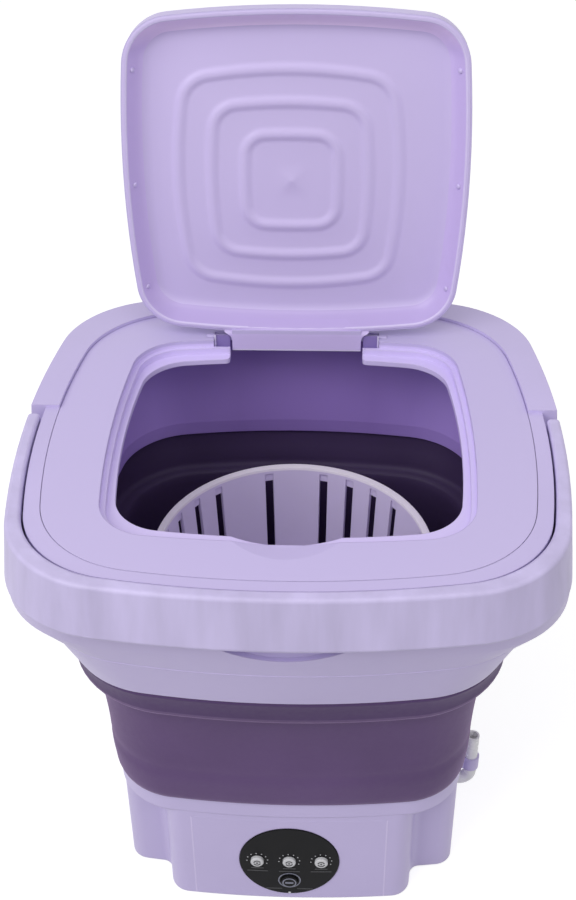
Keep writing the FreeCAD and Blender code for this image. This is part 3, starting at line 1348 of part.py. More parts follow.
for make in (rim_frame, inner_liner, top_cover, hinge_pins, lid_cover, lid_liner, carry_handle, pivot_pins,
             bellows, bellows_clamp, base_housing, bottom_cover, control_panel, buttons, control_board,
             tub_floor, gear_case, motor, drive_shaft, pulsator, basket, drain, power_inlet):
    make()
save_pieces()
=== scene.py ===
"""Foldable mini washing machine: looks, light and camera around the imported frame."""
import json
import math

import bmesh
import bpy
from mathutils import Matrix, Vector


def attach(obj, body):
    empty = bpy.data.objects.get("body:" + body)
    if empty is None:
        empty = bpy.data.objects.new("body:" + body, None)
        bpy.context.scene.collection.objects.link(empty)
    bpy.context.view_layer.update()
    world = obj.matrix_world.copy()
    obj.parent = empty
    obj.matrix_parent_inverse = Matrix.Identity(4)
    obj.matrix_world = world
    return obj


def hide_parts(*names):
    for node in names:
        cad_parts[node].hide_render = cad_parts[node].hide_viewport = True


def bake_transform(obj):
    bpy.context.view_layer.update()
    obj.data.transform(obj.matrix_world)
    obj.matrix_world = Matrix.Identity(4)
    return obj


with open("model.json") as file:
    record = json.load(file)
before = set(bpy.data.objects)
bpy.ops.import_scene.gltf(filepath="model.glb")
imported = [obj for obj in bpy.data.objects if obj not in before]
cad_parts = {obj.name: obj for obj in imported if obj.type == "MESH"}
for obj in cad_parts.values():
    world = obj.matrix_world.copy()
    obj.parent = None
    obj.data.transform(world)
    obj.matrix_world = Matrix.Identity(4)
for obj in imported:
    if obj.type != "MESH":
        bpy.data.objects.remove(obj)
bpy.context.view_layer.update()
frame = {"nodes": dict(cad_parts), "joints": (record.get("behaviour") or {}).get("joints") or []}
nodes = frame["nodes"]
joints = {joint["name"]: joint for joint in frame["joints"]}
scene = bpy.context.scene
MM = 0.001


def box_of(name):
    """Low and high corner of a CAD node's box, in millimetres."""
    node = nodes[name]
    corners = [node.matrix_world @ Vector(corner) / MM for corner in node.bound_box]
    return [min(places) for places in zip(*corners)], [max(places) for places in zip(*corners)]


def middle_of(name):
    """Middle of a CAD node's box, in millimetres, to a tenth."""
    return [round((low + high) / 2, 1) for low, high in zip(*box_of(name))]


def linear(red, green, blue):
    """Linear colour from 0 to 255 display values."""
    def one(value):
        value /= 255
        return value / 12.92 if value <= 0.04045 else ((value + 0.055) / 1.055) ** 2.4
    return (one(red), one(green), one(blue), 1.0)


class Nodes:
    """Small helper that builds a material's node tree."""

    def __init__(self, name):
        self.material = bpy.data.materials.new(name)
        self.material.use_nodes = True
        self.tree = self.material.node_tree
        self.shader = self.tree.nodes["Principled BSDF"]
        self.place = self.add("ShaderNodeTexCoord")

    def add(self, kind, **values):
        node = self.tree.nodes.new(kind)
        for key, value in values.items():
            if key in node.inputs:
                node.inputs[key].default_value = value
            else:
                setattr(node, key, value)
        return node

    def link(self, source, target):
        self.tree.links.new(source, target)

    def noise(self, scale, detail=3.0, stretch=(1, 1, 1)):
        mapping = self.add("ShaderNodeMapping")
        mapping.inputs["Scale"].default_value = stretch
        self.link(self.place.outputs["Object"], mapping.inputs["Vector"])
        texture = self.add("ShaderNodeTexNoise", Scale=scale, Detail=detail)
        self.link(mapping.outputs["Vector"], texture.inputs["Vector"])
        return texture.outputs["Fac"]

    def ramp(self, source, *stops):
        node = self.add("ShaderNodeValToRGB")
        points = node.color_ramp.elements
        while len(points) < len(stops):
            points.new(0.5)
        for point, (where, colour) in zip(points, stops):
            point.position = where
            point.color = colour
        self.link(source, node.inputs["Fac"])
        return node.outputs["Color"]

    def span(self, source, low, high):
        """Spread a 0 to 1 value over a range."""
        node = self.add("ShaderNodeMapRange")
        node.inputs["To Min"].default_value = low
        node.inputs["To Max"].default_value = high
        self.link(source, node.inputs["Value"])
        return node.outputs["Result"]

    def bump(self, *layers, edge=0.0):
        """Stack height layers, each (height output, distance in metres, strength), over rounded edges."""
        normal = None
        if edge:
            normal = self.add("ShaderNodeBevel", Radius=edge).outputs["Normal"]
        for height, distance, strength in layers:
            node = self.add("ShaderNodeBump", Distance=distance, Strength=strength)
            self.link(height, node.inputs["Height"])
            if normal:
                self.link(normal, node.inputs["Normal"])
            normal = node.outputs["Normal"]
        self.link(normal, self.shader.inputs["Normal"])


def shaded(colour, factor):
    """Colour made lighter or darker."""
    return tuple(channel * factor for channel in colour[:3]) + (1.0,)


# Sockets of a Mix node that mixes colours: inputs, then its output
MIX_SHARE, MIX_FIRST, MIX_SECOND = 0, 6, 7
MIX_COLOUR = 2
BLACK, WHITE = (0, 0, 0, 1), (1, 1, 1, 1)


def plastic(name, colour, rough=0.42, grain=0.25, edge=0.0008, spread=0.035, streak=1.0, shine=0.5,
            painted_light_zones=(), axis="Z"):
    """Moulded plastic: fine spark-eroded grain, faint tone drift, upright if streaked, and an uneven gloss.

    A zone is (colour, start, end): along the axis, the tone changes to that colour between two shares
    of the piece's length. The zones paint light and shade: lighter or darker bands where light falls
    differently.
    """
    made = Nodes(name)
    drift = made.noise(scale=9.0 / streak, detail=4.0, stretch=(1, 1, streak))
    tone = made.ramp(drift, (0.3, shaded(colour, 1 - spread)), (0.7, shaded(colour, 1 + spread)))
    for other, start, end in painted_light_zones:
        split = made.add("ShaderNodeSeparateXYZ")
        made.link(made.place.outputs["Generated"], split.inputs["Vector"])
        share = made.ramp(split.outputs[axis], (start, BLACK), (end, WHITE))
        mix = made.add("ShaderNodeMix", data_type="RGBA")
        mix.inputs[MIX_SECOND].default_value = other
        made.link(share, mix.inputs[MIX_SHARE])
        made.link(tone, mix.inputs[MIX_FIRST])
        tone = mix.outputs[MIX_COLOUR]
    made.link(tone, made.shader.inputs["Base Color"])
    gloss = made.noise(scale=160.0, detail=2.0)
    made.link(made.span(gloss, rough - 0.06, rough + 0.06), made.shader.inputs["Roughness"])
    fine = made.noise(scale=2600.0, detail=2.0)
    wavy = made.noise(scale=28.0, detail=2.0)
    made.bump((fine, 0.00006, grain), (wavy, 0.0004, 0.12), edge=edge)
    made.shader.inputs["Specular IOR Level"].default_value = shine
    return made.material


def metal(name, colour, rough=0.3, stretch=(1, 1, 1)):
    """Metal with fine scratches."""
    made = Nodes(name)
    made.shader.inputs["Metallic"].default_value = 1.0
    scratch = made.noise(scale=900.0, detail=4.0, stretch=stretch)
    made.link(made.ramp(scratch, (0.3, shaded(colour, 0.85)), (0.7, colour)),
              made.shader.inputs["Base Color"])
    made.link(made.span(scratch, rough - 0.08, rough + 0.1), made.shader.inputs["Roughness"])
    made.bump((scratch, 0.00003, 0.3), edge=0.0003)
    return made.material


def rubber(name, colour, rough=0.6, sheen=0.0):
    """Soft rubber: mottled tone, fine pores and, where it has a bloom, a pale sheen at the edges."""
    made = Nodes(name)
    made.shader.inputs["Sheen Weight"].default_value = sheen
    made.shader.inputs["Sheen Roughness"].default_value = 0.35
    made.shader.inputs["Sheen Tint"].default_value = linear(236, 200, 250)
    made.shader.inputs["Specular IOR Level"].default_value = 0.3
    drift = made.noise(scale=14.0, detail=5.0)
    made.link(made.ramp(drift, (0.3, shaded(colour, 0.9)), (0.7, shaded(colour, 1.08))),
              made.shader.inputs["Base Color"])
    gloss = made.noise(scale=300.0)
    made.link(made.span(gloss, rough - 0.08, rough + 0.08), made.shader.inputs["Roughness"])
    pores = made.noise(scale=1800.0)
    wavy = made.noise(scale=40.0)
    made.bump((pores, 0.00008, 0.35), (wavy, 0.0005, 0.15), edge=0.0006)
    return made.material


def clear_hose(name):
    """Milky, slightly clear hose."""
    made = Nodes(name)
    made.shader.inputs["Transmission Weight"].default_value = 0.12
    made.shader.inputs["IOR"].default_value = 1.42
    cloud = made.noise(scale=60.0, detail=4.0)
    made.link(made.ramp(cloud, (0.3, linear(246, 245, 249)), (0.7, linear(254, 253, 255))),
              made.shader.inputs["Base Color"])
    made.link(made.span(cloud, 0.18, 0.34), made.shader.inputs["Roughness"])
    made.bump((made.noise(scale=500.0), 0.00005, 0.2))
    return made.material


LILAC = linear(198, 186, 228)
# Painted shade: a darker lilac for the low end of the lid pan's wall and the top of the hinge tab.
LID_SHADE = linear(188, 170, 221)
PALE = linear(224, 213, 242)
shell = plastic("lilac_plastic", LILAC)
handle_plastic = plastic("lilac_handle", linear(198, 188, 226), rough=0.46, spread=0.09, streak=0.14)
# Painted light: the top cover is painted lighter below its deck, on the recess walls and lip, than on the
# deck.
cover_plastic = plastic("lilac_cover", linear(214, 200, 244), painted_light_zones=[(LILAC, 0.78, 0.84)])
lid_inside = plastic("lilac_lid_inside", linear(204, 190, 233), rough=0.36, spread=0.02)
# Painted shade and light: the lid pan's wall is painted darker than its floor at its low end by the hinge,
# and much lighter along its top end, which faces down.
lid_wall = plastic("lilac_lid_wall", LID_SHADE, rough=0.36,
                   painted_light_zones=[(linear(205, 186, 237), 0.06, 0.14), (linear(238, 217, 254), 0.88, 0.94)])
# Painted shade: the apron over the hinge tab is painted darker on its upper part, where it turns from the
# lid's wall.
tab_plastic = plastic("lilac_lid_tab", linear(205, 188, 236), painted_light_zones=[(LID_SHADE, 0.6, 0.76)])
# Painted highlight: a lighter lilac for the lid pan's lip and the side lines of the panel joint.
soft_painted_highlight = plastic("lilac_soft_painted_highlight", linear(216, 204, 241), rough=0.5, shine=0.25)
# Painted highlight: a near white lilac for the hinge tab's lower edge and the edges of the hinge pockets.
bright_painted_highlight = plastic("lilac_bright_painted_highlight", linear(226, 217, 245), rough=0.3)
# Painted shade: a darker purple for the back of the hinge pockets, which lie in shade under the lid.
pocket_painted_shade = plastic("purple_pocket_painted_shade", linear(140, 122, 184), rough=0.5)
# Painted light and shade: the inner wall is painted lighter toward its left and right ends and darker across
# its middle, along X.
tub_wall = plastic("purple_tub_wall", linear(178, 149, 228), axis="X",
                   painted_light_zones=[(linear(148, 121, 194), 0.16, 0.36), (linear(170, 143, 218), 0.68, 0.86)])
white_plastic = plastic("pale_plastic", PALE, rough=0.36)
# Painted highlight: the basket is painted near white along a thin band at the top of its rim.
basket_plastic = plastic("pale_basket", PALE, rough=0.36, painted_light_zones=[(linear(254, 247, 255), 0.98, 0.985)])
nylon = plastic("nylon", linear(226, 223, 212), rough=0.5)
black_gloss = plastic("black_lens", linear(24, 24, 26), rough=0.4, grain=0.05, spread=0.1, shine=0.08)
black_plastic = plastic("black_plastic", linear(30, 30, 32), rough=0.5)
board_green = plastic("circuit_board", linear(18, 92, 46), rough=0.35)
soft_outside = rubber("soft_wall", linear(92, 69, 113), sheen=0.32)
# Painted shade: a darker copy of the soft wall's rubber for the band under the overhanging skirt and the
# cuff.
soft_band_painted_shade = rubber("soft_wall_band_painted_shade", linear(78, 55, 100))
# Painted shade: a darker copy of the soft wall's rubber for its inside faces.
soft_inside_painted_shade = rubber("soft_wall_inside_painted_shade", linear(62, 46, 82))
black_rubber = rubber("black_rubber", linear(28, 28, 29), rough=0.75)
mark_ink = plastic("mark_ink", linear(196, 196, 200), rough=0.5, grain=0.1)
icon_ink = plastic("icon_ink", linear(58, 58, 62), rough=0.5, grain=0.1)
ring_ink = plastic("ring_ink", linear(122, 124, 142), rough=0.35, grain=0.1)
steel = metal("steel", (0.62, 0.62, 0.64, 1.0))
motor_zinc = metal("motor_zinc", (0.55, 0.56, 0.58, 1.0), rough=0.42, stretch=(1, 1, 12))
bronze = metal("bronze", (0.70, 0.50, 0.26, 1.0), rough=0.45)
button_white = plastic("button_white", linear(206, 206, 210), rough=0.3, grain=0.1)
hose = clear_hose("clear_hose")

LOOKS = {
    shell: ["rim_frame", "lid_cover", "base_housing", "control_panel", "hose_clip", "bottom_cover",
            "lid_hinge_pins"],
    cover_plastic: ["top_cover"],
    basket_plastic: ["spin_basket"],
    handle_plastic: ["carry_handle"],
    lid_inside: ["lid_liner"],
    tub_wall: ["inner_liner"],
    white_plastic: ["pulsator", "tub_floor", "drain_grate", "bellows_clamp_ring", "drain_pipe"],
    nylon: ["driven_gear", "gear_case"],
    black_gloss: ["control_lens", "start_button"],
    black_plastic: ["button_switches", "power_inlet"],
    board_green: ["control_board"],
    soft_outside: ["bellows"],
    black_rubber: ["rubber_feet", "shaft_seal"],
    steel: ["bottom_cover_screws", "clamp_ring_screws", "gear_case_screws", "motor_screws",
            "control_board_screws", "pulsator_screw", "handle_pivot_pins", "drive_shaft", "motor_shaft",
            "motor_pinion"],
    motor_zinc: ["drive_motor"],
    bronze: ["upper_bush", "lower_bush"],
    button_white: ["mode_button_left", "mode_button_middle", "mode_button_right"],
    hose: ["drain_hose"],
}
for look, names in LOOKS.items():
    for name in names:
        nodes[name].data.materials.clear()
        nodes[name].data.materials.append(look)


# Pieces made from rings: an outline is (half width, half depth, side radius, corner radius) in millimetres
def mixed(first, second, share, grow=0.0):
    """Outline part of the way from one to another, then grown."""
    return tuple(a + (b - a) * share + grow for a, b in zip(first, second))


def grown(outline, by):
    return tuple(value + by for value in outline)


def on_circle(x, y, radius, angle):
    return (x + radius * math.cos(angle), y + radius * math.sin(angle))


def around(outline, side_steps=10, corner_steps=12):
    """Points of a rounded square with bowed sides."""
    half_width, half_depth, side, corner = outline
    right = Vector((half_width - side, 0))
    back = Vector((0, half_depth - side))
    span = back - right
    rise = math.sqrt((side - corner) ** 2 - span.length_squared / 4)
    middle = (right + back) / 2 + Vector((-span.y, span.x)).normalized() * rise
    low = math.atan2(middle.y - right.y, middle.x - right.x)
    high = math.atan2(middle.y - back.y, middle.x - back.x)
    half = math.pi / 2
    points = []
    for turn in range(4):
        centre = (right, back, -right, -back)[turn]
        swing, after = (low, half - high) if turn % 2 == 0 else (half - high, low)
        bend = Vector((middle.x * (1, -1, -1, 1)[turn], middle.y * (1, 1, -1, -1)[turn]))
        start = turn * half
        for step in range(side_steps):
            angle = start - swing + 2 * swing * step / side_steps
            points.append(centre + side * Vector((math.cos(angle), math.sin(angle))))
        for step in range(corner_steps):
            angle = start + swing + (half - swing - after) * step / corner_steps
            points.append(bend + corner * Vector((math.cos(angle), math.sin(angle))))
    return points


def skin(mesh, rows, closed=True, loop=False, look_of=None):
    """Smooth faces between rows of points; a loop joins the last row to the first."""
    pairs = list(zip(rows, rows[1:])) + ([(rows[-1], rows[0])] if loop else [])
    for index, (lower, upper) in enumerate(pairs):
        for one in range(len(lower) if closed else len(lower) - 1):
            two = (one + 1) % len(lower)
            face = mesh.faces.new((lower[one], lower[two], upper[two], upper[one]))
            face.smooth = True
            face.material_index = look_of(index) if look_of else 0


def make_piece(name, mesh, looks):
    """Turn a mesh under construction into a piece with its materials."""
    data = bpy.data.meshes.new(name)
    mesh.to_mesh(data)
    mesh.free()
    for look in looks:
        data.materials.append(look)
    piece = bpy.data.objects.new(name, data)
    scene.collection.objects.link(piece)
    return piece


def add_piece(name, mesh, looks, body):
    """Make a piece, with its faces turned outwards, that rides on a body."""
    bmesh.ops.recalc_face_normals(mesh, faces=mesh.faces)
    piece = make_piece(name, mesh, looks)
    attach(piece, body)


def ring_mesh(name, rings, looks, place=None, loop=False, look_of=None, cap=False):
    """Piece through rings, each (outline, height, any shift x and y)."""
    mesh = bmesh.new()
    rows = []
    for outline, height, *shift in rings:
        x, y = shift or (0, 0)
        rows.append([mesh.verts.new(((point.x + x) * MM, (point.y + y) * MM, height * MM))
                     for point in around(outline)])
    skin(mesh, rows, loop=loop, look_of=look_of)
    if cap:
        mesh.faces.new(rows[-1]).smooth = True
    bmesh.ops.recalc_face_normals(mesh, faces=mesh.faces)
    if place:
        mesh.transform(place)
    return make_piece(name, mesh, looks)


# Soft wall: outlines from its foot, which stands on the base, up to its skirt
BASE = (*box_of("base_housing")[1][:2], 600, 40)
BULGE = (115.0, 112.6, 560, 43)
KINK = (116.3, 114.0, 520, 46)
CREASE = (121.5, 119.0, 500, 52)
COLLAR = (132.0, 125.6, 500, 64)
SKIRT = (132.4, 134.2, 500, 56)


def soft_wall():
    """Soft wall: rolled foot, a slight fold line, a tall panel and an overhanging collar."""
    foot_level, seat_level = 93.45, 95.35
    fold_level, crease_level = 125.5, 178.5
    skirt_end, cuff_top, cuff_end = 206.9, 217.0, 204.3
    wall, lap, flange, hollow = 2.4, 2.9, 9.0, 0.9
    panel_steps = 9
    outside = [(BASE, foot_level), (mixed(BASE, BULGE, 0.5), 95.2), (mixed(BASE, BULGE, 0.85), 98.6),
               (BULGE, 104), (mixed(BULGE, KINK, 0.55, 0.3), 112), (mixed(BULGE, KINK, 0.9, 0.2), 118.5),
               (grown(KINK, -0.5), 122), (mixed(KINK, CREASE, 0.06, -0.2), fold_level)]
    for step in range(1, panel_steps):
        share = step / panel_steps
        dip = hollow * math.sin(math.pi * share)
        level = fold_level + (crease_level - fold_level) * share
        outside.append((mixed(KINK, CREASE, share, -dip), level))
    outside += [(CREASE, 178.6), (mixed(CREASE, COLLAR, 0.12), 179.9), (mixed(CREASE, COLLAR, 0.55), 181.0),
                (mixed(CREASE, COLLAR, 0.9), 182.2)]
    # from here the band under the skirt and the cuff take the painted shade colour
    band_start = len(outside) + 1
    outside += [(grown(COLLAR, 0.2), 183.9), (mixed(COLLAR, SKIRT, 0.05, 0.1), 185.8),
                (mixed(COLLAR, SKIRT, 0.18, -0.5), 189), (mixed(COLLAR, SKIRT, 0.42, -0.8), 195),
                (mixed(COLLAR, SKIRT, 0.7, -0.6), 201), (grown(SKIRT, -0.1), skirt_end)]
    cuff = [(grown(SKIRT, -lap), skirt_end), (grown(SKIRT, -lap), cuff_top)]
    # from here the inside faces take the painted shade colour
    inner_start = len(outside) + len(cuff)
    cuff += [(grown(SKIRT, -lap - wall), cuff_top), (grown(SKIRT, -lap - wall), cuff_end)]
    inside = [(grown(outline, -wall), height) for outline, height in reversed(outside[2:-2])]
    foot = [(grown(BASE, -wall), seat_level), (grown(BASE, -flange), seat_level),
            (grown(BASE, -flange), foot_level)]
    rings = outside + cuff + inside + foot
    piece = ring_mesh("soft_wall", rings, [soft_outside, soft_band_painted_shade, soft_inside_painted_shade], loop=True,
                      look_of=lambda index: int(index >= band_start) + int(index >= inner_start))
    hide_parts("bellows")
    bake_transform(piece)


# Lid: drawn shut with its hinge at the origin, then hung open on the frame's hinge
RECESS = (105.8, 103.0, 700, 31)
LID_BOW = 2 * RECESS[2]
LID_REACH = 0.1070
LID_OPEN = math.radians(joints["lid_hinge"]["range_deg"][0])
LID_PLACE = Matrix.Translation(joints["lid_hinge"]["pos_m"]) @ Matrix.Rotation(LID_OPEN, 4, "X")
LID_MIDDLE = Matrix.Translation((0, -LID_REACH, 0))


def lid_pan():
    """Inside of the lid: thin lip, sloped wall, flat floor, three soft square beads and a gate mark."""
    flat = 8.4
    bead_height, bead_start, bead_pitch, bead_side = 1.35, 28.6, 19.6, 300
    corner_start, corner_pitch = 13, 3.0
    aside, aside_pitch, back = -3.2, 0.8, 3.5

    def from_bead(ring, offset):
        across = bead_start + bead_pitch * ring + offset
        return (across, across + 0.6, bead_side, corner_start + corner_pitch * ring + offset)

    edge = ((-1.5, -2.75), (-1.7, -3.05), (-2.2, -3.15), (-3.4, -3.15), (-4.0, -2.95), (-4.4, -2.4),
            (-4.9, -1.5), (-7.2, 1.9), (-9.2, 4.7), (-10.6, 6.2), (-12.2, 7.3), (-14.0, 8.0),
            (-16.0, 8.33), (-18.0, flat))
    bead = ((5.6, 0.0), (4.4, 0.06), (3.2, 0.34), (1.9, 0.8), (0.6, 1.0), (-0.6, 1.0), (-1.9, 0.8),
            (-3.2, 0.34), (-4.4, 0.06), (-5.6, 0.0))
    gate = (((12, 12.5, bead_side, 5.5), 0.0), ((2.2, 2.2, 60, 1.9), 0.0), ((1.4, 1.4, 60, 1.2), 0.25),
            ((0.5, 0.5, 60, 0.4), 0.3))
    rings = [(grown(RECESS, offset), level) for offset, level in edge]
    for ring in (2, 1, 0):
        rings += [(from_bead(ring, offset), flat - bead_height * rise, aside - aside_pitch * ring, back)
                  for offset, rise in bead]
    rings += [(outline, flat - rise, aside, back) for outline, rise in gate]
    # The lip rings take a painted highlight colour and the wall rings the wall's painted shade and light.
    lip, wall = (3, 4), range(5, 10)
    piece = ring_mesh("lid_pan", rings, [lid_inside, lid_wall, soft_painted_highlight], LID_PLACE @ LID_MIDDLE, cap=True,
                      look_of=lambda index: 2 if index in lip else int(index in wall))
    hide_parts("lid_liner")
    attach(piece, "lid")


def lid_nubs():
    """Six small bosses on the side walls of the lid pan."""
    profile = ((1.7, 0.0), (1.6, 0.5), (1.2, 0.85), (0.6, 1.0))
    count = 16
    turns = [2 * math.pi * step / count for step in range(count)]
    wall_across, wall_level, wall_tilt = 98.8, 1.4, math.radians(-123)
    mesh = bmesh.new()
    for side in (-1, 1):
        for along in (-66, 4, 72):
            across = side * (wall_across - along * along / LID_BOW)
            place = (LID_PLACE @ LID_MIDDLE @ Matrix.Translation(Vector((across, along, wall_level)) * MM)
                     @ Matrix.Rotation(side * wall_tilt, 4, "Y"))
            rows = [[mesh.verts.new(place @ Vector((*on_circle(0, 0, radius * MM, turn), height * MM)))
                     for turn in turns] for radius, height in profile]
            skin(mesh, rows)
            mesh.faces.new(rows[-1]).smooth = True
    add_piece("lid_nubs", mesh, [lid_inside], "lid")


def between(low, value, high):
    """Share of the way from one value to another, kept between 0 and 1."""
    return min(1.0, max(0.0, (value - low) / (high - low)))


def lid_tab_front():
    """Apron from the lower wall of the lid pan over its lip and down the hinge tab, flared at both ends."""
    face = -4.45
    half_tab, flare, flare_end = 41.7, 5.0, 0.2
    columns, nose_steps, highlight_rows = 16, 12, 5
    first, turn, last = Vector((-8.6, -2.2)), Vector((-7.05, face)), Vector((-3.6, face))
    route = [Vector(place) for place in ((-12.6, 4.1), (-11.8, 2.65), (-10.7, 1.0), (-9.6, -0.65))]
    route += [first * (1 - t) ** 2 + turn * 2 * t * (1 - t) + last * t * t
              for t in (step / nose_steps for step in range(nose_steps + 1))]
    route += [Vector((y, face)) for y in (-2.6, -1.7, -0.9, -0.4, 0.2, 2, 4, 6.3, 7.0)]
    route += [Vector(place) for place in ((7.4, -4.25), (7.6, -3.75), (7.6, -3.25))]
    lip = ((-12.6, 4.05), (-11.8, 2.9), (-8.9, -1.42), (-8.4, -2.3), (-8.0, -2.85), (-7.4, -3.05),
           (-4.6, -3.05))
    mesh = bmesh.new()
    rows = []
    for y, z in route:
        drop = min(flare, max(0.0, flare_end - y))
        half = half_tab + flare - math.sqrt(flare * flare - drop * drop)
        sunk = next((a[1] + (b[1] - a[1]) * (y - a[0]) / (b[0] - a[0]) for a, b in zip(lip, lip[1:])
                     if a[0] <= y <= b[0]), z)
        row = []
        for step in range(-columns, columns + 1):
            x = half * step / columns
            # towards both ends the nose sinks into the lid's own lip
            ease = between(10, abs(step), 14) * between(-4.6, y, -5.8)
            bow = x * x / LID_BOW * between(-4, y, -7)
            place = Vector((x, y - bow, z + (sunk - z) * ease)) * MM
            row.append(mesh.verts.new(LID_PLACE @ place))
        rows.append(row)
    # The last rows, along the tab's lower edge, take a painted highlight colour.
    highlight_start = len(rows) - highlight_rows
    skin(mesh, rows, closed=False, look_of=lambda index: int(index >= highlight_start))
    add_piece("lid_tab_front", mesh, [tab_plastic, bright_painted_highlight], "lid")


def hinge_pockets():
    """Back plate of the pocket at each end of the hinge tab, in a darker purple as painted shade, with a
    painted highlight edge outside and below.
    """
    inner, outer, edge = 43.2, 53.4, 52.3
    foot, top = 289.85, 300.2
    front, rear = 100.7, 101.4
    # the plate is painted shade, the light strips are painted highlights
    plate, light = 0, 1
    blocks = ((plate, (inner, front, foot), (outer, rear, top)),
              (light, (edge, 99.9, foot), (outer, front, top)),
              (light, (inner, 99.3, foot), (edge, front, 290.9)))
    mesh = bmesh.new()
    for side in (-1, 1):
        for look, low, high in blocks:
            middle = [(a + b) / 2 * MM for a, b in zip(low, high)]
            middle[0] *= side
            scale = Matrix.Diagonal([(b - a) * MM for a, b in zip(low, high)] + [1])
            made = bmesh.ops.create_cube(mesh, size=1, matrix=Matrix.Translation(middle) @ scale)
            for face in {face for vert in made["verts"] for face in vert.link_faces}:
                face.material_index = look
    add_piece("hinge_pockets", mesh, [pocket_painted_shade, bright_painted_highlight], "rim")


def rim_lines():
    """Fine raised line round the rim where the belly meets the skirt."""
    ridge, level = (147.0, 143.0, 500, 62), 237.0
    rings = [(grown(ridge, by), level + rise) for by, rise in
             ((-0.4, -1.1), (0.15, -0.5), (0.3, 0.0), (0.15, 0.5), (-0.4, 1.1))]
    piece = ring_mesh("rim_line", rings, [shell])
    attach(piece, "rim")


# Control panel: faces and places of the lens and the buttons, from the frame
LENS_FACE, LENS_BOW = -box_of("control_lens")[0][1], 1440
BUTTON_FACE = -box_of("start_button")[0][1]
START_LEVEL = middle_of("start_button")[2]
MODE_LEVEL = middle_of("mode_button_middle")[2]
MODE_BUTTONS = [("mode_" + side, middle_of("mode_button_" + side)[0]) for side in ("left", "middle", "right")]


def panel_face(x, proud):
    """Depth of the bowed lens face at a place across, in millimetres."""
    return -(LENS_FACE + proud) + x * x / LENS_BOW


def panel_seams():
    """Fine moulded line that covers the joint of the control panel, up both sides and across the top; the
    sides carry a painted highlight colour.
    """
    panel_low, panel_high = box_of("control_panel")
    half, foot, top = panel_high[0] + 0.15, panel_low[2] + 0.2, panel_high[2] + 0.1
    side_steps, top_steps = 12, 40
    left = [(-half, foot + (top - foot) * step / side_steps) for step in range(side_steps + 1)]
    over = [(-half + 2 * half * step / top_steps, top) for step in range(1, top_steps)]
    route = left + over + [(-x, z) for x, z in reversed(left)]
    profile = ((-0.55, -0.05), (-0.3, 0.06), (0.0, 0.1), (0.3, 0.06), (0.55, -0.05))
    inset = 0.6
    mesh = bmesh.new()
    rows = []
    for index, (x, z) in enumerate(route):
        before, after = route[max(index - 1, 0)], route[min(index + 1, len(route) - 1)]
        along = Vector((after[0] - before[0], after[1] - before[1])).normalized()
        row = []
        for aside, proud in profile:
            px, pz = x - along.y * aside, z + along.x * aside
            row.append(mesh.verts.new((px * MM, panel_face(px, proud - inset) * MM, pz * MM)))
        rows.append(row)
    top_start, top_end = len(left) - 1, len(rows) - len(left)
    # the sides take a painted highlight colour, the top keeps the shell's colour
    skin(mesh, rows, closed=False, look_of=lambda index: int(top_start <= index < top_end))
    add_piece("panel_seams", mesh, [soft_painted_highlight, shell], "base")


def flat_marks(name, shapes, look, body, level=None):
    """Thin raised marks on the bowed lens, or on a flat face at a level, from outlines of points (x, z)."""
    lift, height = 0.02, 0.12
    mesh = bmesh.new()
    for points in shapes:
        faces = [panel_face(x, lift) if level is None else -level - lift for x, z in points]
        front = [mesh.verts.new((x * MM, (face - height) * MM, z * MM))
                 for (x, z), face in zip(points, faces)]
        rear = [mesh.verts.new((x * MM, face * MM, z * MM)) for (x, z), face in zip(points, faces)]
        mesh.faces.new(front)
        for one in range(len(points)):
            two = (one + 1) % len(points)
            mesh.faces.new((front[one], rear[one], rear[two], front[two]))
    add_piece(name, mesh, [look], body)


def dot(x, z, radius, count=12):
    return [on_circle(x, z, radius, 2 * math.pi * step / count) for step in range(count)]


def arc_band(x, z, radius, width, first, last, count=20):
    """Part of a ring between two angles in degrees."""
    angles = [math.radians(first + (last - first) * step / count) for step in range(count + 1)]
    outer = [on_circle(x, z, radius + width / 2, angle) for angle in angles]
    inner = [on_circle(x, z, radius - width / 2, angle) for angle in angles]
    return outer + inner[::-1]


def bar(x, z, half_length, half_height):
    return [(x - half_length, z - half_height), (x + half_length, z - half_height),
            (x + half_length, z + half_height), (x - half_length, z + half_height)]


def panel_marks():
    """Generic dots round the mode buttons, short bars under them and rings on the buttons."""
    line = 0.8
    dot_circle, dot_radius = 6.6, 0.42
    name_level, note_level, start_note_level, notch_level = 31.4, 28.6, 11.0, 7.0
    dots, bars = [], []
    for name, x in MODE_BUTTONS:
        dots += [dot(*on_circle(x, MODE_LEVEL, dot_circle, math.radians(angle)), dot_radius)
                 for angle in range(-25, 186, 30)]
        bars += [bar(x, name_level, 4.0, 0.4), bar(x, note_level, 6.6, 0.35)]
    bars.append(bar(0, start_note_level, 15.0, 0.35))
    flat_marks("panel_dots", dots, mark_ink, "base")
    flat_marks("panel_bars", bars, icon_ink, "base")
    flat_marks("panel_notch", [dot(0, notch_level, 0.9)], button_white, "base")

    def start_circle(radius):
        return [arc_band(0, START_LEVEL, radius, line, first, first + 180) for first in (0, 180)]

    flat_marks("start_ring", start_circle(6.9), ring_ink, "base")
    for name, x in MODE_BUTTONS:
        marks = [arc_band(x, MODE_LEVEL, 2.0, line, first, first + 150) for first in (20, 200)]
        marks.append(dot(x, MODE_LEVEL, 0.7))
        flat_marks(name + "_icon", marks, icon_ink, name, BUTTON_FACE)
    flat_marks("start_icon", start_circle(4.1) + [bar(0, START_LEVEL, 2.6, line)], ring_ink, "start",
               BUTTON_FACE)


soft_wall()
lid_pan()
lid_nubs()
lid_tab_front()
hinge_pockets()
rim_lines()
panel_seams()
panel_marks()


